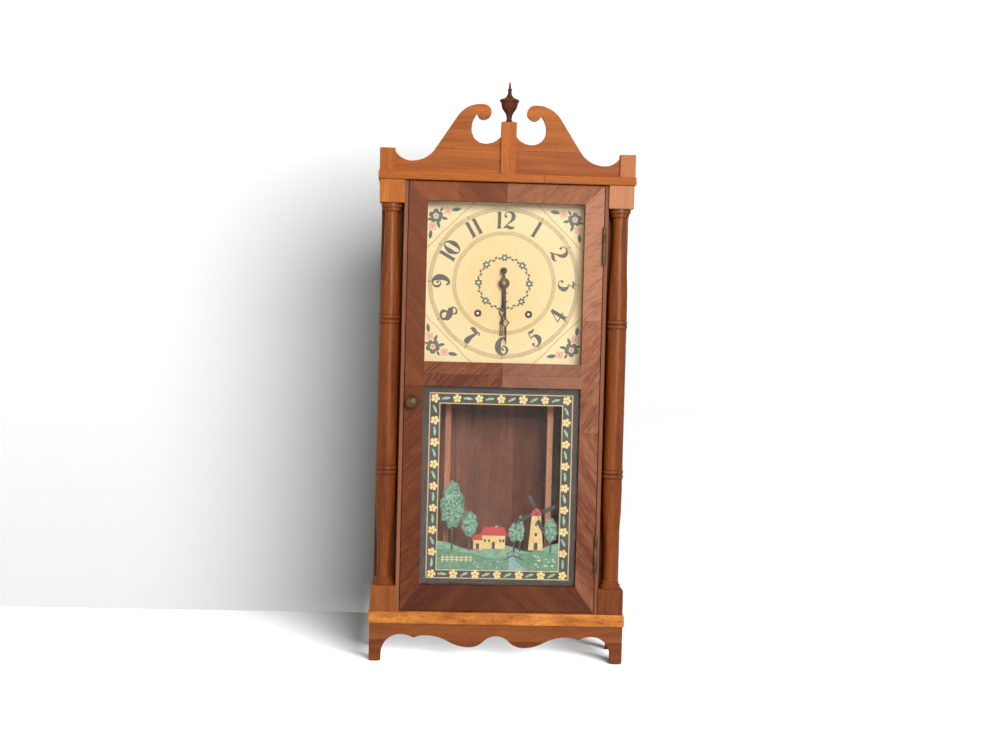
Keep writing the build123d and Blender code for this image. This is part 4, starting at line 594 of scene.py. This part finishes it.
# corner sprays: one spray drawn for the upper left and mirrored to the others
sprayLook = {"flower": (-87.4, 82.0), "blossoms": [(-72.6, 88.6), (-91.6, 68.8)],
             "leaves": [(-62.4, 90.6, 13.5, 5.0, 8), (-93.8, 58.6, 12.0, 4.6, 84), (-77.2, 79.4, 10.5, 4.0, -12), (-84.2, 71.6, 11.0, 4.0, -70), (-80.6, 90.2, 7.0, 3.0, 60), (-95.2, 78.0, 7.0, 3.0, 30)]}
spray = {"green": [], "pink": [], "red": []}
for sideX in (1, -1):
    for sideZ in (1, -1):
        def corner(points):
            made = [(dialLook["centre"][0] + sideX * x, dialLook["centre"][1] + sideZ * z) for x, z in points]
            return made if sideX * sideZ > 0 else made[::-1]
        fx, fz = sprayLook["flower"]
        for k in range(5):
            a = math.radians(72 * k + 90)
            spray["green"].append(corner(disc(fx + 5.4 * math.cos(a), fz + 5.4 * math.sin(a), 3.6, 3.7)))
            spray["pink"].append(corner(disc(fx + 1.9 * math.cos(a), fz + 1.9 * math.sin(a), 1.9, 2.1)))
        spray["red"].append(corner(disc(fx, fz, 0.8)))
        for bx, bz in sprayLook["blossoms"]:
            for k in range(4):
                a = math.radians(90 * k + 40)
                spray["pink"].append(corner(disc(bx + 3.0 * math.cos(a), bz + 3.0 * math.sin(a), 2.9, 2.6)))
            spray["red"].append(corner(disc(bx, bz, 0.8)))
        for lx, lz, long, wide, turn in sprayLook["leaves"]:
            spray["green"].append(corner(moved(leaf(long, wide), lx, lz, turn)))
paintedPiece("dial_corner_sprays", "case",
             [(paints["green"], spray["green"]), (paints["pink"], spray["pink"]), (paints["red"], spray["red"])], numeralLook["front"])

# the vine of the wreath: short curled strokes between its flowers
vineLook = {"radius": 32.0, "flowers": 8, "strokes": [(11.0, 0.9, 34), (18.5, -0.9, -30), (26.0, 1.0, 34), (33.5, -0.8, -30)]}
curls = []
for k in range(vineLook["flowers"]):
    for ahead, out, lean in vineLook["strokes"]:
        a = math.radians(45 * k + ahead)
        r = vineLook["radius"] + out
        x, z = dialLook["centre"][0] + r * math.sin(a), dialLook["centre"][1] + r * math.cos(a)
        curls.append(moved(leaf(5.2, 2.6), x, z, -math.degrees(a) + lean))
paintedPiece("dial_wreath_vine", "case", [(paints["vine"], curls)], numeralLook["front"])


# ---------------------------------------------------------------- repeated marks, by Geometry Nodes
def newTree(name, inputs):
    tree = bpy.data.node_groups.new(name, "GeometryNodeTree")
    for label, kind, value in inputs:
        socket = tree.interface.new_socket(label, in_out="INPUT", socket_type=kind)
        if value is not None:
            socket.default_value = value
    tree.interface.new_socket("Geometry", in_out="OUTPUT", socket_type="NodeSocketGeometry")
    return tree, tree.nodes.new("NodeGroupInput").outputs


def closeTree(tree, given, points, rotation, selection=True):
    # sets a stamp on every point, a little turned and sized one by one, then makes it one plain mesh
    spread = addNode(tree, "FunctionNodeRandomValue", {2: maths(tree, "SUBTRACT", 1.0, given["Unevenness"]),
                                                       3: maths(tree, "ADD", 1.0, given["Unevenness"]), 8: given["Seed"]})
    stamp = addNode(tree, "GeometryNodeObjectInfo", {"Object": given["Stamp"]})
    placed = addNode(tree, "GeometryNodeInstanceOnPoints", {
        "Points": points, "Instance": stamp.outputs["Geometry"], "Rotation": rotation, "Selection": selection,
        "Scale": spread.outputs[1],
    })
    real = addNode(tree, "GeometryNodeRealizeInstances", {0: placed.outputs[0]})
    painted = addNode(tree, "GeometryNodeSetMaterial", {"Geometry": real.outputs[0], "Material": given["Finish"]})
    addNode(tree, "NodeGroupOutput", {0: painted.outputs[0]})
    return tree


common = [("Stamp", "NodeSocketObject", None), ("Finish", "NodeSocketMaterial", None),
          ("Unevenness", "NodeSocketFloat", 0.05), ("Seed", "NodeSocketInt", 3)]


def ringTree():
    # stamps round a circle that faces the front, each turned to point outward
    tree, given = newTree("ring_of_stamps", [("Count", "NodeSocketInt", 12), ("Radius", "NodeSocketFloat", 0.1),
                                             ("Centre", "NodeSocketVector", None), ("Ahead", "NodeSocketFloat", 0.0)] + common)
    points = addNode(tree, "GeometryNodePoints", {"Count": given["Count"]})
    index = addNode(tree, "GeometryNodeInputIndex").outputs[0]
    share = maths(tree, "DIVIDE", index, given["Count"])
    angle = maths(tree, "ADD", maths(tree, "MULTIPLY", share, 2 * math.pi), given["Ahead"])
    place = addNode(tree, "ShaderNodeCombineXYZ", {
        "X": maths(tree, "MULTIPLY", maths(tree, "SINE", angle), given["Radius"]),
        "Z": maths(tree, "MULTIPLY", maths(tree, "COSINE", angle), given["Radius"])})
    offset = addNode(tree, "ShaderNodeVectorMath", {0: place.outputs[0], 1: given["Centre"]}, operation="ADD")
    set_ = addNode(tree, "GeometryNodeSetPosition", {"Geometry": points.outputs[0], "Position": offset.outputs[0]})
    rotation = addNode(tree, "ShaderNodeCombineXYZ", {"Y": angle})
    return closeTree(tree, given, set_.outputs[0], rotation.outputs[0])


def borderTree():
    # stamps along an upright rectangle, on every second point, turned along its sides
    tree, given = newTree("border_of_stamps", [("Width", "NodeSocketFloat", 0.1), ("Height", "NodeSocketFloat", 0.1),
                                               ("Centre", "NodeSocketVector", None), ("Count", "NodeSocketInt", 8),
                                               ("Odd", "NodeSocketFloat", 0.0), ("Lean", "NodeSocketFloat", 0.0)] + common)
    path = addNode(tree, "GeometryNodeCurvePrimitiveQuadrilateral", {"Width": given["Width"], "Height": given["Height"]},
                   mode="RECTANGLE")
    points = addNode(tree, "GeometryNodeCurveToPoints", {"Curve": path.outputs[0], "Count": given["Count"]}, mode="COUNT")
    upright = addNode(tree, "GeometryNodeTransform", {"Geometry": points.outputs[0], "Translation": given["Centre"],
                                                      "Rotation": (math.pi / 2, 0, 0)})
    index = addNode(tree, "GeometryNodeInputIndex").outputs[0]
    second = addNode(tree, "FunctionNodeCompare", {0: maths(tree, "MODULO", index, 2.0), 1: given["Odd"]},
                     operation="EQUAL", data_type="FLOAT")
    half = maths(tree, "GREATER_THAN", maths(tree, "PINGPONG", maths(tree, "ADD", index, 0.0), maths(tree, "DIVIDE", given["Count"], 2.0)),
                 maths(tree, "DIVIDE", given["Count"], 4.0))
    lean = addNode(tree, "FunctionNodeRandomValue", {2: -0.3, 3: 0.3, 8: given["Seed"]})
    angle = maths(tree, "ADD", maths(tree, "MULTIPLY", lean.outputs[1], given["Lean"]), maths(tree, "MULTIPLY", half, 0.0))
    position = addNode(tree, "GeometryNodeInputPosition").outputs[0]
    apart = addNode(tree, "ShaderNodeSeparateXYZ", {0: addNode(tree, "ShaderNodeVectorMath", {0: position, 1: given["Centre"]},
                                                                 operation="SUBTRACT").outputs[0]})
    onSide = maths(tree, "GREATER_THAN", maths(tree, "ABSOLUTE", apart.outputs[0]),
                   maths(tree, "SUBTRACT", maths(tree, "DIVIDE", given["Width"], 2.0), 0.002))
    angle = maths(tree, "ADD", angle, maths(tree, "MULTIPLY", onSide, math.pi / 2))
    rotation = addNode(tree, "ShaderNodeCombineXYZ", {"Y": angle})
    return closeTree(tree, given, upright.outputs[0], rotation.outputs[0], second.outputs[0])


def studTree():
    # a stamp on every vertex of the piece's own mesh: screws
    tree, given = newTree("stamps_on_places", [("Places", "NodeSocketGeometry", None), ("Facing", "NodeSocketVector", None)] + common)
    return closeTree(tree, given, given["Places"], given["Facing"])


def grownPiece(name, tree, values, body, places=()):
    mesh = bpy.data.meshes.new(name)
    mesh.from_pydata([tuple(mm(*place)) for place in places], [], [])
    piece = bpy.data.objects.new(name, mesh)
    bpy.context.scene.collection.objects.link(piece)
    grow = piece.modifiers.new("grow", "NODES")
    grow.node_group = tree
    for item in tree.interface.items_tree:
        if item.item_type == "SOCKET" and item.in_out == "INPUT" and item.name in values:
            grow[item.identifier] = values[item.name]
    ready = piece.evaluated_get(bpy.context.evaluated_depsgraph_get())
    made = bpy.data.meshes.new_from_object(ready)
    piece.modifiers.clear()
    piece.data = made
    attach(piece, body)
    return piece


def stampOf(name, outlines, front=0.0, thick=0.03):
    # a stamp is hidden from the render and is no piece of the object
    stamp = paintedPiece(name, None, [(paints["white"], outlines)], front, thick, 0.0)
    stamp.hide_render = True
    stamp.hide_viewport = False
    return stamp


rings, borders, studs = ringTree(), borderTree(), studTree()
dialCentre = mm(dialLook["centre"][0], numeralLook["front"], dialLook["centre"][1])
tickStamp = stampOf("tick_stamp", [[(-0.45, -3.0), (0.45, -3.0), (0.45, 3.0), (-0.45, 3.0)]])
grownPiece("dial_hour_ticks", rings, {"Count": 12, "Radius": mm(92.8), "Centre": dialCentre, "Stamp": tickStamp,
                                      "Finish": paints["tick"], "Unevenness": 0.08, "Seed": 5}, "case")
wreathPetals = [moved(leaf(4.8, 3.2, 5), 2.9 * math.cos(math.radians(60 * k)), 2.9 * math.sin(math.radians(60 * k)), 60 * k) for k in range(6)]
petalStamp = stampOf("wreath_petal_stamp", wreathPetals)
heartStamp = stampOf("wreath_heart_stamp", [disc(0, 0, 1.45, sides=12)], -0.04)
for label, stamp, finish in (("dial_wreath_petals", petalStamp, "green"), ("dial_wreath_hearts", heartStamp, "white")):
    grownPiece(label, rings, {"Count": vineLook["flowers"], "Radius": mm(vineLook["radius"]), "Centre": dialCentre, "Stamp": stamp,
                              "Finish": paints[finish], "Unevenness": 0.06, "Seed": 2}, "case")
print("dial painted")

# ---------------------------------------------------------------- lower glass
# painted on the back of the pane, so what the eye meets first lies nearest the glass
borderLook = {
    "paneBack": -37.0, "opening": (98.0, 95.5, 344.5), "outer": (89.4, 103.4, 335.2), "inner": (77.0, 113.4, 322.7),
    "line": 0.65, "stepMm": 0.03,
}


def hoop(outer, inner):
    # four mitred strips between two upright rectangles (half width, bottom, top)
    (a, low, high), (b, low2, high2) = outer, inner
    return [[(-a, low), (a, low), (b, low2), (-b, low2)], [(a, low), (a, high), (b, high2), (b, low2)],
            [(a, high), (-a, high), (-b, high2), (b, high2)], [(-a, high), (-a, low), (-b, low2), (-b, high2)]]


def lineHoop(middle, half):
    a, low, high = middle
    return hoop((a + half, low - half, high + half), (a - half, low + half, high - half))


glassFront = borderLook["paneBack"] + 0.02
paintedPiece("glass_border", "door", [
    (paints["gold"], lineHoop(borderLook["outer"], borderLook["line"]) + lineHoop(borderLook["inner"], borderLook["line"])),
    (paints["black"], hoop(borderLook["outer"], borderLook["inner"])),
], glassFront + 0.03, 0.012, 0.03, 1)
paintedPiece("glass_edge_wash", "door", [(paints["wash"], hoop(borderLook["opening"], borderLook["outer"]))], glassFront + 0.12, 0.012, 0.03, 1)

borderPetals = []
for k in range(5):
    a = math.radians(72 * k + 90)
    borderPetals.append(moved([(0.0, 0.0), (1.25, 1.8), (2.05, 3.9), (1.3, 5.4), (0.0, 5.0), (-1.3, 5.4), (-2.05, 3.9), (-1.25, 1.8)],
                              0, 0, 72 * k))
blossomStamp = stampOf("border_petal_stamp", borderPetals, 0.0, 0.01)
blossomHeart = stampOf("border_heart_stamp", [disc(0, 0, 0.95, sides=10)] + [moved(leaf(1.5, 0.28, 3), 1.5 * math.sin(math.radians(72 * k)),
                       1.5 * math.cos(math.radians(72 * k)), 90 - 72 * k) for k in range(5)], -0.008, 0.006)
leafStamp = stampOf("border_leaf_stamp", [moved(leaf(10.5, 3.3), 0.4, 0.2, 9), moved(leaf(4.2, 1.3), -4.4, -1.5, -38)], 0.0, 0.01)
borderCentre = mm(-0.25, glassFront + 0.01, (108.4 + 329.0) / 2)
for label, stamp, finish, odd, lean in (("glass_border_petals", blossomStamp, "petal", 0.0, 0.7), ("glass_border_hearts", blossomHeart, "petalHeart", 0.0, 0.7),
                                        ("glass_border_leaves", leafStamp, "paleLeaf", 1.0, 1.0)):
    grownPiece(label, borders, {"Width": mm(165.0), "Height": mm(220.6), "Centre": borderCentre, "Count": 56, "Odd": odd, "Lean": lean,
                                "Stamp": stamp, "Finish": paints[finish], "Unevenness": 0.06, "Seed": 7}, "door")

# a made-up countryside: two meadows, a stream under a footbridge, a mill and a cottage
draw = random.Random(12)


def ridge(heights, floor):
    # a smooth meadow edge through (x, z) points, down to the border's inner line
    xs = [x for x, z in heights]
    top = []
    for i in range(41):
        x = xs[0] + (xs[-1] - xs[0]) * i / 40
        k = max(j for j in range(len(xs) - 1) if xs[j] <= x + 1e-9)
        t = (x - xs[k]) / (xs[k + 1] - xs[k])
        t = t * t * (3 - 2 * t)
        top.append((x, heights[k][1] * (1 - t) + heights[k + 1][1] * t))
    return [(xs[0], floor), (xs[-1], floor)] + top[::-1]


def bushy(x, z, wide, tall, lobes=9, rough=0.16, taper=0.0):
    # a tree's crown: an uneven oval, drawn in at the top by taper
    made = []
    for i in range(36):
        a = 2 * math.pi * i / 36
        swell = 1 + rough * math.sin(lobes * a + x) * 0.5 + rough * draw.uniform(-0.4, 0.4)
        narrow = 1 - taper * max(0.0, math.sin(a))
        made.append((x + wide / 2 * math.cos(a) * swell * narrow, z + tall / 2 * math.sin(a) * swell))
    return made


def box2(x1, z1, x2, z2):
    return [(x1, z1), (x2, z1), (x2, z2), (x1, z2)]


innerHalf, innerLow = borderLook["inner"][0] - 0.6, borderLook["inner"][1] + 0.6
trees = [(-58, 196, 31, 58, 0.25), (-36, 172, 20, 32, 0.1), (66, 166, 17, 30, 0.1), (20, 163, 14, 24, 0.5), (27.5, 167, 11, 34, 0.6)]
crowns = [bushy(x, z, w, h, taper=t) for x, z, w, h, t in trees]
trunks = [[(x - 1.1, 138), (x + 1.3, 138), (x + 0.5, z), (x - 0.5, z)] for x, z, w, h, t in trees]
dabs = []
for x, z, w, h, t in trees:
    for _ in range(int(w * h / 26)):
        a, r = draw.uniform(0, 2 * math.pi), math.sqrt(draw.random()) * 0.38
        dabs.append(moved(leaf(3.4, 1.3, 4), x + r * w * math.cos(a), z + r * h * math.sin(a), draw.uniform(20, 160)))
mill = [[(38, 140), (57, 140), (53.2, 184), (41.8, 184)]]
millCap = [[(39.8, 183.5), (55.2, 183.5), (52, 191), (47.5, 194), (43, 191)]]
sails = []
for k in range(4):
    a = 28 + 90 * k
    sails += [moved(box2(-0.45, 0, 0.45, 25), 47.5, 186, a), moved([(0.5, 8), (4.6, 8), (4.6, 24.5), (0.5, 24.5)], 47.5, 186, a)]
cottage = [box2(-20, 141, 9, 158), [(-20, 157.5), (-17, 157.5), (-17, 158)], box2(-4, 157, -0.5, 170)]
cottageRoof = [[(-23, 157.5), (12, 157.5), (7, 168.5), (-18, 168.5)]]
barn = [box2(-31, 140, -20, 152)]
barnRoof = [[(-33, 151.5), (-18.6, 151.5), (-21.5, 158.5), (-30, 158.5)]]
panes = [box2(x, 149.5, x + 2.4, 153) for x in (-17.5, -12.3, 1.6, 5.6)] + [box2(-7.6, 141, -3.8, 149.5), box2(45.2, 140.5, 49.8, 149.5)]
panes += [box2(45.9, 158, 49, 162), box2(46.1, 171, 48.9, 174.6), box2(-27.6, 140.5, -23.6, 147.5)]
stream = [[(14, 114), (38, 114), (24, 124), (21, 131), (27, 139.5), (22.5, 139.5), (15.5, 132), (14, 124)]]
bridge = brushed([(8, 127, 1.2), (20, 132.5, 1.6), (33, 127, 1.2)]) + [box2(12, 128.5, 12.9, 135.5), box2(19.6, 131.5, 20.5, 138.8),
                                                                        box2(27.6, 128.5, 28.5, 135.5)]
bridge += brushed([(11, 134.6, .7), (20, 138.2, .7), (30, 134.2, .7)])
fence = [box2(x, 124, x + 1.1, 131.5) for x in range(-70, -30, 6)] + [box2(-71, 126, -33, 126.8), box2(-71, 129, -33, 129.8)]
daisies = [disc(draw.uniform(44, 72), draw.uniform(118, 134), 0.95, sides=7) for _ in range(16)]
daisies += [disc(draw.uniform(-30, 2), draw.uniform(117, 126), 0.75, sides=7) for _ in range(7)]
farHill = ridge([(-innerHalf, 150), (-30, 139), (5, 146), (40, 138), (innerHalf, 149)], innerLow)
nearHill = ridge([(-innerHalf, 140), (-40, 136), (-5, 129), (24, 133), (55, 141), (innerHalf, 136)], innerLow)
dabStroke = paintMaterial("tree_light_oil", "#a9c9af", "#7da78b", 500)
paintedPiece("glass_countryside", "door", [
    (paints["white"], daisies), (paints["trunk"], bridge), (paints["petal"], fence), (paints["window"], panes + sails),
    (paints["roof"], cottageRoof + barnRoof + millCap), (paints["wall"], cottage[::2] + barn + mill), (dabStroke, dabs),
    (paints["crown"], crowns), (paints["trunk"], trunks), (paints["water"], stream), (paints["meadow"], [nearHill]),
    (paints["hill"], [farHill]),
], glassFront, 0.008, 0.014, 1)
print("lower glass painted")

# ---------------------------------------------------------------- small screws
# turned brass screws with a cut slot; the leaves hold three each, the back board is pinned round its edge
def screwStamp(name, radius, rise, slotWide):
    # a low dome with its slot, standing on the y = 0 plane and facing -y
    rows, sides = [(1.0, 0.0), (1.0, 0.35), (0.86, 0.72), (0.6, 0.93), (0.3, 1.0)], 20
    vertices = [(radius * r * math.cos(2 * math.pi * i / sides), -rise * h, radius * r * math.sin(2 * math.pi * i / sides))
                for r, h in rows for i in range(sides)]
    faces = [(k * sides + i, k * sides + (i + 1) % sides, (k + 1) * sides + (i + 1) % sides, (k + 1) * sides + i)
             for k in range(len(rows) - 1) for i in range(sides)]
    faces.append(tuple((len(rows) - 1) * sides + i for i in range(sides)))
    faces.append(tuple(range(sides - 1, -1, -1)))
    mesh = bpy.data.meshes.new(name)
    mesh.from_pydata([tuple(mm(*v)) for v in vertices], [], faces)
    stamp = bpy.data.objects.new(name, mesh)
    bpy.context.scene.collection.objects.link(stamp)
    blade = [(-slotWide / 2, -rise * 1.2, -radius), (slotWide / 2, -rise * 1.2, -radius), (slotWide / 2, -rise * 0.55, -radius),
             (-slotWide / 2, -rise * 0.55, -radius)]
    cut = bpy.data.meshes.new("slot")
    cut.from_pydata([tuple(mm(x, y, z)) for x, y, z in blade] + [tuple(mm(x, y, -z)) for x, y, z in blade], [],
                    [(0, 1, 2, 3), (7, 6, 5, 4), (0, 4, 5, 1), (1, 5, 6, 2), (2, 6, 7, 3), (3, 7, 4, 0)])
    cutter = bpy.data.objects.new("slot", cut)
    bpy.context.scene.collection.objects.link(cutter)
    carve = stamp.modifiers.new("slot", "BOOLEAN")
    carve.object, carve.operation = cutter, "DIFFERENCE"
    ready = stamp.evaluated_get(bpy.context.evaluated_depsgraph_get())
    made = bpy.data.meshes.new_from_object(ready)
    stamp.modifiers.clear()
    stamp.data = made
    bpy.data.objects.remove(cutter)
    stamp.hide_render = True
    return stamp


backStamp = screwStamp("back_screw_stamp", 2.6, 1.0, 0.55)
hingeStamp = screwStamp("hinge_screw_stamp", 1.8, 0.15, 0.5)
backPins = [(x, 61.0 - 6.0, z) for z in (70, 190, 330, 470, 590) for x in (-139, 139)] + [(x, 55.0, z) for z in (69, 592) for x in (-70, 0, 70)]
grownPiece("back_board_screws", studs, {"Facing": (0.0, 0.0, math.pi), "Stamp": backStamp, "Finish": finishes["agedBrass"], "Unevenness": 0.02,
                                        "Seed": 4}, "case", backPins)
hingeLook = {"heights": (137.5, 523.5), "apart": 15.0, "y": -41.0, "jambFace": 122.20, "doorFace": 121.80}
for label, body, face, facing in (("jamb_hinge_screws", "case", hingeLook["jambFace"], -math.pi / 2),
                                  ("door_hinge_screws", "door", hingeLook["doorFace"], math.pi / 2)):
    holes = [(face, hingeLook["y"], z + step * hingeLook["apart"]) for z in hingeLook["heights"] for step in (-1, 0, 1)]
    grownPiece(label, studs, {"Facing": (0.0, 0.0, facing), "Stamp": hingeStamp, "Finish": finishes["agedBrass"], "Unevenness": 0.02,
                              "Seed": 9}, body, holes)
for stamp in (tickStamp, petalStamp, heartStamp, blossomStamp, blossomHeart, leafStamp, backStamp, hingeStamp):
    bpy.data.objects.remove(stamp)
print("screws set")

# ---------------------------------------------------------------- stage, lamps and camera
stageLook = {"wallY": 0.30, "halfWidth": 4.0, "height": 3.0, "front": -5.0, "shade": 0.25, "bounce": 0.05,
             "lift": 0.42, "under": (0.145, 0.175), "rightFoot": (0.07, 0.13)}


def stageMaterial(name, seeThroughBack):
    # matt paper, lit white by its own sun. Under the clock it glows for the camera: painted light that lifts the
    # clock's shadow there, so that the feet read against it
    material, tree, place = newMaterial(name)
    seen = seenRays(tree)
    shade = mixColour(tree, seen, (*[stageLook["bounce"]] * 3, 1), (*[stageLook["shade"]] * 3, 1))
    paper = addNode(tree, "ShaderNodeBsdfDiffuse", {"Color": shade})
    split = addNode(tree, "ShaderNodeSeparateXYZ", {"Vector": place})
    lift = rescale(tree, maths(tree, "ABSOLUTE", split.outputs[0]), *stageLook["under"], stageLook["lift"], 0.0)
    lift = maths(tree, "MULTIPLY", lift, rescale(tree, split.outputs[0], *stageLook["rightFoot"], 1.0, 0.15))
    lift = maths(tree, "MULTIPLY", lift, rescale(tree, split.outputs[2], 0.0, 0.05, 1.0, 0.0))
    # painted light: the wall's foot on the lamp's side glows for the camera, lifting the shade where the floor keeps
    # part of the sun from it
    wallFootGlow = maths(tree, "MULTIPLY", rescale(tree, split.outputs[2], 0.0, 0.3, 0.14, 0.0), rescale(tree, split.outputs[0], 0.12, 0.2))
    lift = maths(tree, "ADD", lift, wallFootGlow)
    white = addNode(tree, "ShaderNodeEmission", {"Strength": maths(tree, "MULTIPLY", lift, seen)})
    surface = addNode(tree, "ShaderNodeAddShader", {0: paper.outputs[0], 1: white.outputs[0]}).outputs[0]
    if seeThroughBack:
        facing = addNode(tree, "ShaderNodeNewGeometry").outputs["Backfacing"]
        shown = maths(tree, "MULTIPLY", seen, maths(tree, "SUBTRACT", 1.0, facing))
        clear = addNode(tree, "ShaderNodeBsdfTransparent")
        surface = addNode(tree, "ShaderNodeMixShader", {0: shown, 1: clear.outputs[0], 2: surface}).outputs[0]
    closeMaterial(tree, surface)
    return material


def stagePiece(name, profile, material):
    half = stageLook["halfWidth"]
    vertices = [(x, y, z) for y, z in profile for x in (-half, half)]
    faces = [(2 * k, 2 * k + 1, 2 * k + 3, 2 * k + 2) for k in range(len(profile) - 1)]
    mesh = bpy.data.meshes.new(name)
    mesh.from_pydata(vertices, [], faces)
    mesh.materials.append(material)
    for face in mesh.polygons:
        face.use_smooth = True
    piece = bpy.data.objects.new(name, mesh)
    bpy.context.scene.collection.objects.link(piece)
    return piece


wallY = stageLook["wallY"]
wall = stagePiece("backdrop_wall", [(wallY, 0.0), (wallY, stageLook["height"])], stageMaterial("backdrop_paper", True))
floor = stagePiece("floor", [(stageLook["front"], 0.0), (4.0, 0.0)], stageMaterial("floor_paper", False))

lampLook = {
    "key": {"at": (0.6, -2.7, 1.35), "size": 1.15, "tall": 0.85, "power": 50.0},
    "fill": {"at": (-1.6, -2.2, 0.8), "size": 1.2, "power": 3.0},
    "window": {"at": (0.70, -2.65, 0.75), "size": 0.5, "tall": 1.0, "power": 22.0, "glossOnly": True},
    "back": {"at": (-0.8, 2.6, 1.6), "size": 1.6, "power": 30.0},
    "wallSun": {"from": (0.36, -1.0, 0.06), "angle": 51, "strength": 19.0},
    "floorSun": {"from": (0.36, -1.0, 0.22), "angle": 40, "strength": 66.0},
}


def areaLamp(name, look, target=(0.0, 0.0, 0.36)):
    data = bpy.data.lights.new(name, "AREA")
    data.shape, data.energy = "RECTANGLE", look["power"]
    data.size, data.size_y = look["size"], look.get("tall", look["size"])
    lamp = bpy.data.objects.new(name, data)
    bpy.context.scene.collection.objects.link(lamp)
    lamp.location = look["at"]
    lamp.rotation_euler = (Vector(target) - Vector(look["at"])).to_track_quat("-Z", "Y").to_euler()
    lamp.visible_diffuse = not look.get("glossOnly", False)
    # its light already comes straight through the panes, so it isn't counted again along bent rays
    lamp.visible_transmission = False
    return lamp


def wideSun(name, look):
    data = bpy.data.lights.new(name, "SUN")
    data.energy, data.angle = look["strength"], math.radians(look["angle"])
    lamp = bpy.data.objects.new(name, data)
    bpy.context.scene.collection.objects.link(lamp)
    lamp.rotation_euler = (-Vector(look["from"])).to_track_quat("-Z", "Y").to_euler()
    return lamp


# one sun each for the wall and the floor paper, and the lamps for the clock alone
clockLamps = [areaLamp(name + "_lamp", lampLook[name]) for name in ("key", "fill", "back", "window")]
for label, lamps, papers, state in (("wall_only", [wideSun("wall_sun", lampLook["wallSun"])], [wall], "INCLUDE"),
                                    ("floor_only", [wideSun("floor_sun", lampLook["floorSun"])], [floor], "INCLUDE"),
                                    ("not_paper", clockLamps, [wall, floor], "EXCLUDE")):
    chosen = bpy.data.collections.new(label)
    for piece in papers:
        chosen.objects.link(piece)
    for member in chosen.collection_objects:
        member.light_linking.link_state = state
    for lamp in lamps:
        lamp.light_linking.receiver_collection = chosen

world = bpy.data.worlds.new("studio")
bpy.context.scene.world = world
world.use_nodes = True
world.node_tree.nodes.clear()
sky = addNode(world.node_tree, "ShaderNodeTexCoord").outputs["Generated"]
toward = addNode(world.node_tree, "ShaderNodeSeparateXYZ", {"Vector": sky}).outputs
overhead = rescale(world.node_tree, toward[2], -0.1, 0.8, 0.3, 0.65)
shade = maths(world.node_tree, "MULTIPLY", overhead, rescale(world.node_tree, toward[1], -0.95, 0.1, 1.2, 0.12))
strength = blendNumber(world.node_tree, seenRays(world.node_tree), shade, 1.0)
# light for what lies behind a pane comes straight through it, so its bent rays bring none again
rays = addNode(world.node_tree, "ShaderNodeLightPath").outputs
again = maths(world.node_tree, "MULTIPLY", rays["Is Transmission Ray"], maths(world.node_tree, "GREATER_THAN", rays["Diffuse Depth"], 0.5))
strength = maths(world.node_tree, "MULTIPLY", strength, maths(world.node_tree, "SUBTRACT", 1.0, again))
light = addNode(world.node_tree, "ShaderNodeBackground", {"Color": (1, 1, 1, 1), "Strength": strength})
addNode(world.node_tree, "ShaderNodeOutputWorld", {"Surface": light.outputs[0]})

# the camera was fitted to thirty points of the photograph
cameraLook = {"azimuth": -3.12, "elevation": 2.26, "roll": 1.50, "aim": (0.0043, 0.0, 0.3544), "distance": 2.3, "focalPixels": 1808.8}
az, el, roll = (math.radians(cameraLook[key]) for key in ("azimuth", "elevation", "roll"))
ahead = Vector((-math.sin(az) * math.cos(el), math.cos(az) * math.cos(el), -math.sin(el)))
level = ahead.cross(Vector((0, 0, 1))).normalized()
above = level.cross(ahead)
right = level * math.cos(roll) + above * math.sin(roll)
up = above * math.cos(roll) - level * math.sin(roll)
camera = bpy.data.objects.new("camera", bpy.data.cameras.new("camera"))
bpy.context.scene.collection.objects.link(camera)
camera.matrix_world = Matrix.Translation(Vector(cameraLook["aim"]) - ahead * cameraLook["distance"]) @ Matrix(
    (right, up, -ahead)).transposed().to_4x4()
camera.data.sensor_width = 36.0
camera.data.lens = cameraLook["focalPixels"] * 36.0 / 1008
bpy.context.scene.camera = camera
bpy.context.scene.view_settings.view_transform = "Standard"
print("stage, lamps and camera set")
